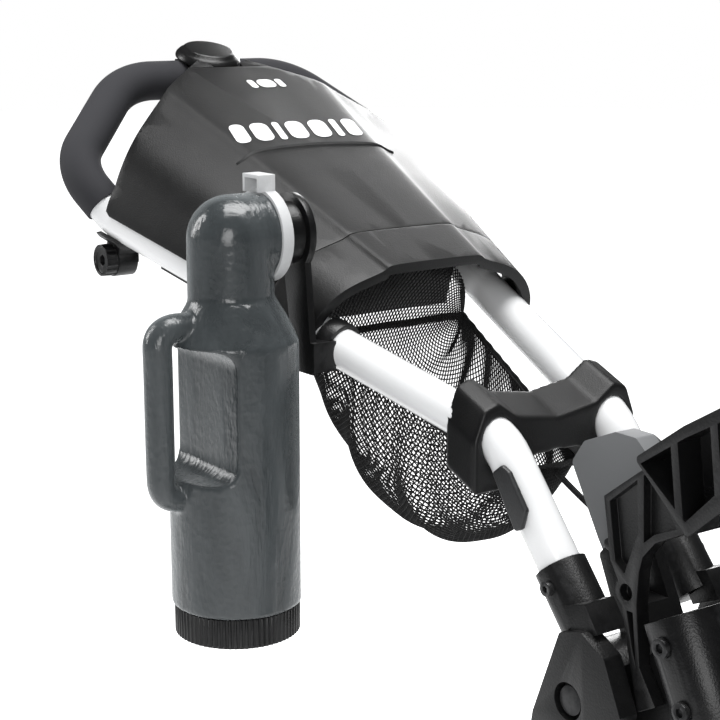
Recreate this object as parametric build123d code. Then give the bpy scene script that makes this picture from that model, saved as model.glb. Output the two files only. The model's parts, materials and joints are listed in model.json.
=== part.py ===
"""Folding three-wheeled golf push trolley, in millimetres.

X points forward, the way the trolley is pushed, Y points left and Z points up. The origin is on the
ground, under the middle of the trolley's overall box. Each function returns one sub-part.
"""
import os
from math import atan2, cos, degrees, radians, sin, sqrt

from build123d import *

os.makedirs("parts", exist_ok=True)

# ---- driving dimensions ------------------------------------------------------------------------
LEFT, RIGHT = 1, -1

BEND_X, BEND_Z = -118.0, 806.0      # handle bend, on the centre plane
UPPER_PITCH = radians(17.0)         # upper handle tubes rise towards the rear
LOWER_PITCH = radians(49.3)         # lower handle tubes drop towards the front
BEND_HALF = 48.0                    # half spacing of the handle tubes at the bend
TAPER = 0.2286                      # half spacing gained for each millimetre rearwards
TUBE_R, TUBE_BORE = 14.0, 12.2
GRIP_R = 15.8
GRIP_START = 371.0                  # along the upper tube, where the grip loop turns upwards
FIT = 0.05                          # radial clearance of a running fit
SKIN = 0.4                          # gap between mouldings and the tubes under them

HINGE_X, HINGE_Z = -26.0, 665.0     # axis on which the handle folds
HINGE_PIN_R = 6.0

MAIN_X, MAIN_Z = 59.5, 708.0        # a point on the main frame's axis
MAIN_PITCH = radians(62.0)          # main frame's axis below horizontal
MAIN_HALF = 46.0                    # half spacing of the main tubes
MAIN_R, MAIN_BORE = 13.0, 11.2
HUB_X, HUB_Z = 180.5, 480.0         # axis on which the front leg folds
HUB_PIN_R = 8.0

WHEEL_R = 146.0
FRONT_X, REAR_X, AXLE_Z = 444.0, -279.5, 146.0
REAR_Y = 294.0                      # rear wheel's centre from the centre plane
FRONT_TYRE_W, REAR_TYRE_W = 50.0, 54.0
HUB_HALF = 29.0                     # half length of a wheel's hub
AXLE_R = 6.0

LEG_X, LEG_Z, LEG_Y = 130.0, 442.0, 64.0    # rear leg's pivot
BOTTLE_X, BOTTLE_Y = BEND_X - 152.0, -154.0
BOTTLE_R, BOTTLE_WALL = 45.0, 1.8

# ---- helpers -----------------------------------------------------------------------------------
HANDLE = Plane(
    origin=(BEND_X, 0, BEND_Z),
    x_dir=(-cos(UPPER_PITCH), 0, sin(UPPER_PITCH)),
    z_dir=(sin(UPPER_PITCH), 0, cos(UPPER_PITCH)),
)
LOWER = Vector(cos(LOWER_PITCH), 0, -sin(LOWER_PITCH))
DOWN = Vector(cos(MAIN_PITCH), 0, -sin(MAIN_PITCH))
OUT = Vector(sin(MAIN_PITCH), 0, cos(MAIN_PITCH))


def on_handle(s, y, h):
    """Point at s rearwards along the upper handle, y to the left, h above the tubes' plane."""
    return HANDLE.from_local_coords(Vector(s, -y, h))


def half_spacing(s):
    """Half the distance between the handle tubes, s behind the bend."""
    return BEND_HALF + TAPER * s


def across_handle(s):
    """Plane square to the upper handle, s behind the bend, with its own x to the side and y upwards."""
    return HANDLE * Plane(origin=(s, 0, 0), x_dir=(0, 1, 0), z_dir=(1, 0, 0))


def from_bend(*offsets):
    """X, Z points given from the handle's bend."""
    return [(BEND_X + x, BEND_Z + z) for x, z in offsets]


def plate(outline, y_low, y_high, corner=0.0):
    """Flat plate: an outline in X and Z, filling the space between two Y values."""
    face = make_face(Polyline(*outline, close=True))
    if corner:
        face = fillet(face.vertices(), corner)
    return extrude(Plane.XZ.offset(-y_high) * face, amount=y_high - y_low, dir=(0, -1, 0))


def rod(start, end, radius, bore=0.0):
    """Straight round bar or tube between two points."""
    start, end = Vector(start), Vector(end)
    length = (end - start).length
    plane = Plane(origin=start, z_dir=end - start)
    solid = extrude(plane * Circle(radius), amount=length, dir=end - start)
    if bore:
        solid -= extrude(plane * Circle(bore), amount=length, dir=end - start)
    return solid


def cross_rod(x, z, y_low, y_high, radius, bore=0.0):
    """Round bar or tube along Y."""
    return rod((x, y_low, z), (x, y_high, z), radius, bore)


def pipe(points, radii, outer, bore=0.0):
    """Round bar or tube along straight runs joined by arcs."""
    path = FilletPolyline(*points, radius=radii)
    start = Plane(origin=path @ 0, z_dir=path % 0)
    solid = sweep(start * Circle(outer), path=path)
    if bore:
        solid -= sweep(start * Circle(bore), path=path)
    return solid


def block(plane, x_range, y_range, z_range):
    """Box in a plane's own coordinates."""
    size = [high - low for low, high in (x_range, y_range, z_range)]
    centre = [(high + low) / 2 for low, high in (x_range, y_range, z_range)]
    return plane * (Pos(*centre) * Box(*size))


def largest(shape):
    """The largest solid of a shape, without slivers left by a cut."""
    return max(shape.solids(), key=lambda solid: solid.volume)


def mirrored(y_low, y_high, side):
    """Y range given for the left side, moved to the given side."""
    return (y_low, y_high) if side == LEFT else (-y_high, -y_low)


def bolt(x, z, y_face, side, radius=5.0, proud=3.0, sunk=6.0):
    """Socket-headed bolt standing out of a face at y_face, on the given side."""
    head = cross_rod(x, z, min(y_face, y_face + side * proud), max(y_face, y_face + side * proud), radius)
    socket = RegularPolygon(radius * 0.5, 6)
    deep = Plane(origin=(x, y_face + side * proud, z), z_dir=(0, -side, 0))
    head -= extrude(deep * socket, amount=proud * 0.7, dir=(0, -side, 0))
    shank_far = y_face - side * sunk
    return head + cross_rod(x, z, min(y_face, shank_far), max(y_face, shank_far), radius * 0.5)


# ---- handle tubes and grips --------------------------------------------------------------------
LOOP_RISE = radians(30.5)           # grip loop's plane above the plane of the tubes
LOOP_DEPTH = 132.0
GRIP_GAP = 14.0                     # bare tube between the turn and the grip
BOSS_HALF = 21.0
TUBE_END_Y = 9.6                    # each tube stops beside the umbrella socket's bore
SOCKET_START, SOCKET_END = 90.0, 130.0


def on_loop(a, y):
    """Point in the grip loop's plane, a behind the turn."""
    return on_handle(GRIP_START + a * cos(LOOP_RISE), y, a * sin(LOOP_RISE))


def loop_points(side):
    """Corners of the grip loop, from the turn to the centre."""
    y_start = half_spacing(GRIP_START)
    return [
        on_loop(0, side * y_start),
        on_loop(52, side * (y_start + 18)),
        on_loop(LOOP_DEPTH, side * 78),
        on_loop(LOOP_DEPTH, side * TUBE_END_Y),
    ]


def handle_tube(side):
    """One side of the handle: socket end, bend, upper run and half of the grip loop."""
    bend = Vector(BEND_X, side * BEND_HALF, BEND_Z)
    points = [bend + LOWER * (SOCKET_END - 4), bend] + loop_points(side)
    return pipe(points, [45, 40, 42, 62], TUBE_R, TUBE_BORE)


def grip(side):
    """Foam sleeve over half of the grip loop."""
    turn, outer, inner, centre = loop_points(side)
    along = (outer - turn).normalized()
    points = [turn + along * GRIP_GAP, outer, inner, Vector(centre)]
    sleeve = pipe(points, [42, 62], GRIP_R, TUBE_R + FIT)
    keep_out = block(HANDLE, (300, 600), (-BOSS_HALF - 1.5, BOSS_HALF + 1.5), (-50, 150))
    return sleeve - keep_out


# ---- umbrella socket ---------------------------------------------------------------------------
BOSS_S = GRIP_START + LOOP_DEPTH * cos(LOOP_RISE)
BOSS_H = LOOP_DEPTH * sin(LOOP_RISE)
BOSS_TOP = BOSS_H + 16.0
BOSS_R = 22.0
SOCKET_BORE_R = 9.0
SOCKET_DEPTH = 14.0
CAP_HEIGHT = 10.0
NECK_FOOT = 6.0


def umbrella_socket():
    """Boss that joins the two tubes at the back and takes an umbrella holder in its top."""
    axis = HANDLE * Pos(BOSS_S, 0, 0)
    stands = (Align.CENTER, Align.CENTER, Align.MIN)
    body = axis * (Pos(0, 0, 43) * Cylinder(BOSS_R, BOSS_TOP - 43, align=stands))
    body += block(HANDLE, (BOSS_S - 17, BOSS_S + 17), (-BOSS_HALF, BOSS_HALF), (BOSS_H - 17, BOSS_H + 12))
    neck = [(BOSS_S - 34, NECK_FOOT), (BOSS_S + 12, NECK_FOOT + 10), (BOSS_S + 12, 52), (BOSS_S - 16, 52),
            (BOSS_S - 34, 40)]
    profile = make_face(Polyline(*neck, close=True))
    body += extrude(HANDLE * (Rot(90, 0, 0) * profile), amount=13, both=True)
    bore = Cylinder(SOCKET_BORE_R, SOCKET_DEPTH + 1, align=stands)
    body -= axis * (Pos(0, 0, BOSS_TOP - SOCKET_DEPTH) * bore)
    for side in (LEFT, RIGHT):
        body -= rod(on_loop(LOOP_DEPTH, side * TUBE_END_Y), on_loop(LOOP_DEPTH, side * 40), TUBE_R)
    return body


def umbrella_cap():
    """Dust cap with a plug that fits in the umbrella socket."""
    profile = [(0, 2 - SOCKET_DEPTH), (SOCKET_BORE_R - FIT, 2 - SOCKET_DEPTH), (SOCKET_BORE_R - FIT, 0),
               (27, 0), (27, 3), (24.5, 6), (23, CAP_HEIGHT - 3), (20, CAP_HEIGHT), (0, CAP_HEIGHT)]
    face = make_face(Polyline(*profile, close=True))
    cap = revolve(Plane.XZ * face, axis=Axis.Z, revolution_arc=360)
    return HANDLE * (Pos(BOSS_S, 0, BOSS_TOP + 0.3) * cap)


# ---- console -----------------------------------------------------------------------------------
VISOR_FRONT, LID_FRONT = 151.0, 195.0
SEAM_START, SEAM_SLOPE = 345.0, 1.5     # rear seam: s = start + slope * h
SHELL_WALL = 3.0
SHELL_FOOT = -9.0
LID_FOOT = 9.0
LID_HINGE_S, LID_HINGE_H = 199.5, 57.5
JOINT_GAP = 0.6
LIP_LENGTH, LIP_WALL = 9.0, 7.5     # thickened front edge of the visor


def crown(s):
    """Height of the console's top above the plane of the tubes."""
    return 53 + 0.1197 * (s - VISOR_FRONT)


def half_arch(s, inset, foot):
    """Right half of the console's cross-section: a superellipse standing on a straight side."""
    width = half_spacing(s) + TUBE_R + SKIN + SHELL_WALL - inset
    height = crown(s) - inset
    power = 2.2 + 0.4 * (s - VISOR_FRONT) / 235
    curve = [(width * cos(radians(a)) ** (2 / power), height * sin(radians(a)) ** (2 / power))
             for a in (0, 12, 27, 45, 65, 89.9)]
    curve[-1] = (0, height)
    top = Spline(*curve, tangents=[(0, 1), (-1, 0)])
    sides = Polyline((0, height), (0, foot), (width, foot), (width, 0))
    return across_handle(s) * make_face([top.edge()] + sides.edges())


def console_form(inset, foot):
    """Solid form of the console, cut to its plan."""
    stations = (VISOR_FRONT - 12, 225, 300, 380, 500)
    right_half = loft([half_arch(s, inset, foot) for s in stations])
    front = VISOR_FRONT if inset == 0 else VISOR_FRONT - 20
    corner_s = 362 - inset
    rear_end, rear_half = 470 - inset, 16 - inset / 2
    plan = [(front, 0), (front, half_spacing(500)), (corner_s, half_spacing(500)),
            (corner_s, half_spacing(corner_s) + 12), (rear_end, rear_half), (rear_end, 0)]
    prism = extrude(HANDLE * (Pos(0, 0, -60) * make_face(Polyline(*plan, close=True))), amount=220)
    right_half = right_half & prism
    return right_half + mirror(right_half, about=Plane.XZ)


def console_shell():
    """Hollow console, before it is divided into its mouldings."""
    return console_form(0, SHELL_FOOT) - console_form(SHELL_WALL, SHELL_FOOT - 20)


def tube_clearance(side):
    """Space that one side of the handle's tube needs."""
    start = on_handle(60, side * half_spacing(60), 0)
    return pipe([start] + loop_points(side), [40, 42, 62], TUBE_R + SKIN)


def behind_seam(gap):
    """Everything behind the slanted rear seam."""
    low, high = -60, 200
    outline = [(SEAM_START + gap + SEAM_SLOPE * low, low), (SEAM_START + gap + SEAM_SLOPE * high, high),
               (900, high), (900, low)]
    face = make_face(Polyline(*outline, close=True))
    return extrude(HANDLE * (Rot(90, 0, 0) * face), amount=250, both=True)


LID_REAR = BOSS_S - 33.0


def console_visor(shell):
    """Fixed bridge across the front of the console."""
    visor = shell & block(HANDLE, (100, LID_FRONT), (-300, 300), (-60, 200))
    band = block(HANDLE, (100, VISOR_FRONT + LIP_LENGTH), (-300, 300), (-60, 200))
    visor += (console_form(0, SHELL_FOOT) & band) - console_form(LIP_WALL, SHELL_FOOT - 20)
    for side in (LEFT, RIGHT):
        visor -= tube_clearance(side)
    return largest(visor)


def console_lid(shell):
    """Lid, hinged along its front seam."""
    lid = shell & block(HANDLE, (LID_FRONT + JOINT_GAP, LID_REAR), (-300, 300), (LID_FOOT, 200))
    lid -= behind_seam(-JOINT_GAP)
    for side in (LEFT, RIGHT):
        lid -= tube_clearance(side)
    return largest(lid)


def console_rear(shell):
    """Fixed rear panel, with the wall that closes the console behind the lid."""
    rear = shell & behind_seam(0)
    rear += shell & block(HANDLE, (LID_REAR + JOINT_GAP, 600), (-300, 300), (0, 200))
    for side in (LEFT, RIGHT):
        rear -= tube_clearance(side)
    rear -= block(HANDLE, (BOSS_S - 35, BOSS_S + 40), (-14, 14), (NECK_FOOT - 1, 200))
    rear -= HANDLE * (Pos(BOSS_S, 0, NECK_FOOT + 74) * Cylinder(31, 150))
    return largest(rear)


TRAY_FLOOR, TRAY_RIM, TRAY_WALL = -28.0, 8.0, 2.5


def tray_plan(inset):
    """Outline of the tray between the tubes."""
    front, rear = LID_FRONT + 32 + inset, 336 - inset
    edge = TUBE_R + 1.0 + inset
    front_half, rear_half = half_spacing(front) - edge, half_spacing(rear) - edge
    return [(front, front_half), (rear, rear_half), (rear, -rear_half), (front, -front_half)]


def console_tray():
    """Open tray for balls and tees under the lid."""
    outer = make_face(Polyline(*tray_plan(0), close=True))
    inner = make_face(Polyline(*tray_plan(TRAY_WALL), close=True))
    height = TRAY_RIM - TRAY_FLOOR
    tray = extrude(HANDLE * (Pos(0, 0, TRAY_FLOOR) * outer), amount=height)
    return tray - extrude(HANDLE * (Pos(0, 0, TRAY_FLOOR + TRAY_WALL) * inner), amount=height)


# ---- saddle at the bend ------------------------------------------------------------------------
def saddle(tubes):
    """Bridge over the two tubes at the bend, with a horn over each of them."""
    outline = [(-70, -22), (-70, 12), (-62, 32), (-50, 36), (-34, 25), (0, 20), (34, 25), (50, 36),
               (62, 32), (70, 12), (70, -22), (31, -22), (26, -4), (0, -2), (-26, -4), (-31, -22)]
    face = make_face(Polyline(*outline, close=True))
    face = fillet(face.vertices(), 2.5)
    back = Plane(origin=(BEND_X - 30, 0, BEND_Z), x_dir=(0, 1, 0), z_dir=(1, 0, 0))
    body = extrude(back * face, amount=33, dir=(1, 0, -0.42))
    for tube in tubes:
        body -= tube
    return body


def clamp_tab(side):
    """Finger tab of the saddle's clamp on one tube."""
    outline = from_bend((13, -16), (22, -9), (29, -12), (46, -33), (42, -46), (36, -49))
    low, high = mirrored(62.6, 67, side)
    return plate(outline, low, high, 2.5)


# ---- yoke: sockets and ears --------------------------------------------------------------------
EAR_IN, EAR_OUT = 56.0, 70.0
SOCKET_R = 16.8


def handle_yoke(side):
    """Socket for a handle tube, with the ear that carries it on the hinge pin."""
    bend = Vector(BEND_X, side * BEND_HALF, BEND_Z)
    body = rod(bend + LOWER * SOCKET_START, bend + LOWER * SOCKET_END, SOCKET_R)
    outline = from_bend((83, -99), (101.6, -93.6), (122, -104), (137, -136), (134, -164),
                        (112, -186), (80, -188), (58, -172), (60.5, -158))
    body += plate(outline, *mirrored(EAR_IN, EAR_OUT, side), corner=4)
    body += plate(from_bend((76, -86), (98, -78), (110, -94), (88, -104)), *mirrored(40, 64, side))
    body -= rod(bend + LOWER * (SOCKET_START - 1), bend + LOWER * (SOCKET_END - 4), TUBE_R)
    body -= handle_screws()
    body -= cross_rod(HINGE_X, HINGE_Z, -80, 80, HINGE_PIN_R + FIT)
    return body - cross_rod(HINGE_X, HINGE_Z, *mirrored(EAR_OUT - 8, EAR_OUT + 1, side), 12)


# ---- accessory brackets, knob and bottle bracket ------------------------------------------------
TAB_S, TAB_H = 364.0, -30.0
TAB_HOLE_R = 3.2
TAB_IN, TAB_OUT = 121.0, 137.0


def tab_place():
    """X and Z of the accessory hole."""
    point = on_handle(TAB_S, 0, TAB_H)
    return point.X, point.Z


def accessory_bracket(side):
    """Clamp round the tube with a lug below it, drilled for an accessory."""
    x, z = tab_place()
    tube_y = side * half_spacing(TAB_S)
    start = on_handle(TAB_S - 11, tube_y - side * TAPER * 11, 0)
    end = on_handle(TAB_S + 11, tube_y + side * TAPER * 11, 0)
    body = rod(start, end, TUBE_R + 4)
    low, high = mirrored(TAB_IN, TAB_OUT, side)
    body += cross_rod(x, z, low, high, 13)
    lug = HANDLE * (Pos(TAB_S, -(low + high) / 2, (TAB_H - 6) / 2) * Box(20, high - low, -TAB_H - 6))
    body += lug
    near, far = [on_handle(s, side * half_spacing(s), 0) for s in (300, 430)]
    body -= rod(near, far, TUBE_R)
    body -= block(HANDLE, (300, 430), (-200, 200), (SHELL_FOOT - 0.4, 60))
    return body - cross_rod(x, z, low - 1, high + 1, TAB_HOLE_R)


def knob(side):
    """Round clamp knob with a hexagon recess and a stem through the bracket's hole."""
    x, z = tab_place()
    face = side * (TAB_OUT + 0.3)
    head = cross_rod(x, z, *sorted((face, face + side * 9)), 12.5)
    recess = Plane(origin=(x, face + side * 9, z), z_dir=(0, -side, 0))
    head -= extrude(recess * RegularPolygon(4.5, 6), amount=5, dir=(0, -side, 0))
    head += cross_rod(x, z, *sorted((face, side * (TAB_IN - 2))), TAB_HOLE_R - FIT)
    return head + cross_rod(x, z, *sorted((side * (TAB_IN - 0.3), side * (TAB_IN - 5))), 6)


MOUTH_DZ = 120.0                    # bottle mouth above the bend
PLUG_R = 21.5


def bottle_bracket():
    """Arm on the right tube with the plug that the bottle's mouth is pushed on to."""
    start = on_handle(138, -half_spacing(138), 0)
    end = on_handle(150, -half_spacing(150), 0)
    body = rod(start, end, TUBE_R + 3.5)
    z_mouth = BEND_Z + MOUTH_DZ
    arm = [(BOTTLE_X + 4, BEND_Z + 26), (BOTTLE_X + 26, BEND_Z + 26), (BOTTLE_X + 16, z_mouth),
           (BOTTLE_X - 12, z_mouth)]
    body += plate(arm, -108.2, -103.2)
    body += plate(from_bend((-146, 28), (-124, 28), (-124, 48), (-146, 48)), -108.2, -90)
    body += cross_rod(BOTTLE_X - 2, z_mouth, -108.2, -103.2, 27)
    body += cross_rod(BOTTLE_X - 2, z_mouth, -140, -108, PLUG_R)
    body -= rod(on_handle(100, -half_spacing(100), 0), on_handle(200, -half_spacing(200), 0), TUBE_R)
    return body - console_form(0, SHELL_FOOT)


# ---- bottle ------------------------------------------------------------------------------------
BOTTLE_FOOT, BOTTLE_SHOULDER = BEND_Z - 130.0, BEND_Z + 54.0
NECK_R = 29.0
MOUTH_Y = -123.0
SPIGOT_R, SPIGOT_DEPTH = 39.5, 14.0
DISH_LOW, DISH_HIGH = BEND_Z - 38.0, BEND_Z + 52.0
LOOP_LOW, LOOP_HIGH = BEND_Z - 51.0, BEND_Z + 66.0
CAP_R, BASE_CAP_H = 43.5, 20.6


def upright(x, y, z_low, z_high, radius):
    """Vertical round bar."""
    return rod((x, y, z_low), (x, y, z_high), radius)


def bottle_form(inset):
    """Bottle's body, shoulder, neck and elbow as one solid, inset by a wall."""
    x_neck = BOTTLE_X - 2
    z_mouth = BEND_Z + MOUTH_DZ
    radius, neck = BOTTLE_R - inset, NECK_R - inset
    body = upright(BOTTLE_X, BOTTLE_Y, BOTTLE_FOOT + inset, BOTTLE_SHOULDER, radius)
    plane = Plane(origin=(BOTTLE_X, BOTTLE_Y, BOTTLE_SHOULDER), x_dir=(1, 0, 0), z_dir=(0, 0, 1))
    body += plane * Cone(radius, neck, 26, align=(Align.CENTER, Align.CENTER, Align.MIN))
    body += upright(x_neck, BOTTLE_Y, BOTTLE_SHOULDER + 10, z_mouth, neck)
    body += Pos(x_neck, BOTTLE_Y, z_mouth) * Sphere(neck)
    body += cross_rod(x_neck, z_mouth, BOTTLE_Y, MOUTH_Y + inset, neck)
    dish_face = BOTTLE_Y - BOTTLE_R + 24
    dish = Pos(BOTTLE_X, dish_face - 40 + inset, (DISH_LOW + DISH_HIGH) / 2) * Box(
        120, 80, DISH_HIGH - DISH_LOW + 2 * inset)
    return body - dish


def bottle():
    """Blow-moulded bottle with a side handle, an elbow mouth and a spigot for its base cap."""
    body = bottle_form(0)
    body += upright(BOTTLE_X, BOTTLE_Y, BOTTLE_FOOT - SPIGOT_DEPTH, BOTTLE_FOOT + 1, SPIGOT_R)
    inner_y = BOTTLE_Y - BOTTLE_R
    loop = [(BOTTLE_X, inner_y + 24, LOOP_HIGH), (BOTTLE_X, inner_y - 13, LOOP_HIGH),
            (BOTTLE_X, inner_y - 13, LOOP_LOW), (BOTTLE_X, inner_y + 14, LOOP_LOW)]
    body += pipe(loop, [18, 18], 10)
    body -= bottle_form(BOTTLE_WALL)
    body -= upright(BOTTLE_X, BOTTLE_Y, BOTTLE_FOOT - SPIGOT_DEPTH - 1, BOTTLE_FOOT + 3, SPIGOT_R - 2.4)
    x_neck, z_mouth = BOTTLE_X - 2, BEND_Z + MOUTH_DZ
    return body - cross_rod(x_neck, z_mouth, MOUTH_Y - 20, MOUTH_Y + 1, PLUG_R + 0.3)


def bottle_ring():
    """White strap ring round the bottle's mouth, with a pull loop on top."""
    x_neck, z_mouth = BOTTLE_X - 2, BEND_Z + MOUTH_DZ
    ring = cross_rod(x_neck, z_mouth, MOUTH_Y - 9, MOUTH_Y - 1, NECK_R + 2.4, NECK_R)
    loop = [(x_neck - 11, z_mouth + 29), (x_neck - 11, z_mouth + 41), (x_neck + 9, z_mouth + 41),
            (x_neck + 9, z_mouth + 29.6), (x_neck + 6.5, z_mouth + 29.6), (x_neck + 6.5, z_mouth + 38.5),
            (x_neck - 8.5, z_mouth + 38.5), (x_neck - 8.5, z_mouth + 29)]
    strap = plate(loop, MOUTH_Y - 14, MOUTH_Y - 1)
    return ring + strap - bottle_form(0)


def bottle_base_cap():
    """Ribbed screw cap over the bottle's spigot."""
    top = BOTTLE_FOOT - 0.4
    cap = upright(BOTTLE_X, BOTTLE_Y, top - BASE_CAP_H, top, CAP_R - 1)
    cap -= upright(BOTTLE_X, BOTTLE_Y, top - SPIGOT_DEPTH - 1, top + 1, SPIGOT_R + 0.3)
    ribs = 36
    for i in range(ribs):
        turn = radians(360 / ribs * i)
        x, y = BOTTLE_X + (CAP_R - 1.4) * cos(turn), BOTTLE_Y + (CAP_R - 1.4) * sin(turn)
        cap += upright(x, y, top - BASE_CAP_H + 2, top - 1, 1.6)
    return cap


# ---- basket and its cord -------------------------------------------------------------------------
BASKET_WALL = 2.0


def basket_form(inset, raise_top):
    """Basket's outer shape: side profile narrowed in plan and towards its bottom."""
    side = [(-10 - inset, -28 + raise_top), (-10 - inset, -44), (-50 - inset * 0.5, -92 + inset),
            (-100, -108 + inset), (-160, -103 + inset), (-202 + inset, -60 + inset),
            (-196 + inset, 42 + raise_top), (-42, -18 + raise_top)]
    body = plate(from_bend(*side), -100, 100)
    front, rear = 4, 235
    top, low = 10, -160
    sections = []
    for s in (front, rear):
        upper = half_spacing(s) - TUBE_R - 5 - inset
        lower = upper * 0.35
        points = [(upper, top), (upper, -12), (lower, low), (-lower, low), (-upper, -12), (-upper, top)]
        face = make_face(Polyline(*points, close=True))
        sections.append(across_handle(s) * face)
    return body & loft(sections, ruled=True)


def mesh_basket():
    """Net bag hung between the handle tubes, open at its top."""
    return basket_form(0, 0) - basket_form(BASKET_WALL, 40)


def basket_cord():
    """Cord held between the basket's front wall and the left socket."""
    start = Vector(BEND_X - 9.5, 9, BEND_Z - 34)
    end = Vector(BEND_X + 62, BEND_HALF - SOCKET_R - 2.3, BEND_Z - 72)
    middle = (start + end) * 0.5 + Vector(0, 0, -3)
    return pipe([start, middle, end], [300], 2.2)


def handle_screws():
    """Bolts of the yoke's sockets, as separate solids."""
    bolts = []
    for side in (LEFT, RIGHT):
        centre = Vector(BEND_X, side * BEND_HALF, BEND_Z) + LOWER * (SOCKET_START + 12)
        bolts.append(bolt(centre.X, centre.Z, side * (BEND_HALF + SOCKET_R - 1), side, 4.5, 4, 1))
    return Compound(children=bolts)


# ---- frame: upper hub ----------------------------------------------------------------------------
LEVER_PIVOT = from_bend((68, -58))[0]
MAIN_SOCKET_R = 24.0


def on_main(t, y, d=0.0):
    """Point at t down the main frame's axis, y to the left, d out towards the bag."""
    return Vector(MAIN_X, y, MAIN_Z) + DOWN * t + OUT * d


def upper_hub():
    """Casting between the hinge, the latch lever's pivot and the two main tubes."""
    body = cross_rod(HINGE_X, HINGE_Z, -EAR_IN + 0.5, EAR_IN - 0.5, 31)
    core = from_bend((112, -118), (150, -92), (196, -96), (204, -128), (176, -152), (112, -168))
    body += plate(core, -MAIN_HALF, MAIN_HALF)
    body += plate(from_bend((60, -66), (76, -50), (108, -112), (84, -118)), -17, 17, 4)
    for side in (LEFT, RIGHT):
        y = side * MAIN_HALF
        body += rod(on_main(-34, y), on_main(32, y), MAIN_SOCKET_R)
        body -= rod(on_main(-26, y), on_main(90, y), MAIN_R)
    body -= plate(from_bend((40, -90), (40, 0), (120, 0), (100, -90)), -8.6, 8.6)
    body -= cross_rod(*LEVER_PIVOT, -20, 20, 4)
    body -= cross_rod(HINGE_X, HINGE_Z, -60, 60, HINGE_PIN_R)
    return body - frame_fasteners()


def hinge_pin():
    """Pin of the handle hinge, with a head at each end."""
    pin = cross_rod(HINGE_X, HINGE_Z, -EAR_OUT + 7.6, EAR_OUT - 7.6, HINGE_PIN_R)
    for side in (LEFT, RIGHT):
        low, high = mirrored(EAR_OUT - 7.6, EAR_OUT - 2, side)
        pin += cross_rod(HINGE_X, HINGE_Z, low, high, 9.5)
    return pin


def latch_lever():
    """Thumb lever of the handle's lock, between the tubes."""
    outline = from_bend((49, -60), (23, -16), (34, 0), (62, 12), (80, 12), (90, 4), (80, -34), (76, -58),
                        (68, -70), (56, -70))
    body = plate(outline, -8, 8, 4)
    return body - cross_rod(*LEVER_PIVOT, -20, 20, 4 + FIT)


BELL_IN, BELL_OUT = 45.0, 55.0


def cradle_plate(side, hub):
    """Ribbed side plate between the upper hub and the bag cradle."""
    outline = from_bend((102, -11), (142, 19), (168, -17), (145, -29), (135.5, -40), (133, -50),
                        (132, -70), (136, -108), (150, -128), (136, -136), (126, -100), (117, -61),
                        (109, -49))
    low, high = mirrored(BELL_IN, BELL_OUT, side)
    body = plate(outline, low, high)
    face_low, face_high = mirrored(BELL_OUT - 6, BELL_OUT + 1, side)
    pockets = [[(107, -13), (129, 5), (131, -26), (121, -54), (113, -48)],
               [(134, 9), (141, 14), (161, -16), (144, -24), (136, -31)],
               [(124, -76), (129, -76), (133, -108), (130, -100)]]
    for pocket in pockets:
        body -= plate(from_bend(*pocket), face_low, face_high)
    body += cross_rod(*from_bend((123, -65))[0], low, high, 9)
    body -= cross_rod(*from_bend((123, -65))[0], face_low, face_high, 5)
    return body - hub


ARM_IN, ARM_OUT = 55.2, 79.0


def cradle_arm(side):
    """Channel-section arm that holds the upper end of a golf bag."""
    outline = from_bend((150, 27), (186, 53), (211, 68), (262, 97), (302, 113), (320, 104), (316, 88),
                        (262, 52), (215, 12), (192, -8))
    low, high = mirrored(ARM_IN, ARM_OUT, side)
    body = plate(outline, low, high, 3)
    pocket = from_bend((155, 25), (188, 47), (260, 88), (296, 103), (308, 98), (260, 60), (212, 22),
                       (190, 0))
    cut = plate(pocket, *mirrored(ARM_IN + 6, ARM_OUT + 1, side))
    for x, z in ((178, 14), (205, 36), (236, 58), (268, 80)):
        cut -= plate(from_bend((x - 2, z + 34), (x + 3, z + 36), (x + 13, z - 30), (x + 8, z - 34)),
                     *mirrored(ARM_IN, ARM_OUT + 1, side))
    return body - cut


def cradle_bridge():
    """Spacer tube between the two side plates of the cradle."""
    return cross_rod(*from_bend((152, -9))[0], -BELL_IN, BELL_IN, 8, 5)


def main_tube(side):
    """Main frame tube between the upper hub and the centre hub."""
    y = side * MAIN_HALF
    return rod(on_main(-26, y), on_main(MAIN_LENGTH, y), MAIN_R, MAIN_BORE)


MAIN_LENGTH = sqrt((HUB_X - MAIN_X) ** 2 + (HUB_Z - MAIN_Z) ** 2) - 12


def frame_fasteners():
    """Pin of the latch lever, and the bolts of the main sockets and the side plates."""
    solids = [cross_rod(*LEVER_PIVOT, -17, 17, 4)]
    for side in (LEFT, RIGHT):
        for t in (-19, 18):
            point = on_main(t, 0)
            solids.append(bolt(point.X, point.Z, side * (MAIN_HALF + MAIN_SOCKET_R - 0.6), side, 6, 3.5, 5))
    return Compound(children=solids)


# ---- centre hub ----------------------------------------------------------------------------------
HUB_PLATE_IN = 28.0
LEG_DIR = Vector(REAR_X - LEG_X, 0, AXLE_Z - LEG_Z).normalized()
LEG_AXIS = Vector(LEG_DIR.Z, 0, -LEG_DIR.X)
KNUCKLE_R, KNUCKLE_HALF = 15.4, 17.2


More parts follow.
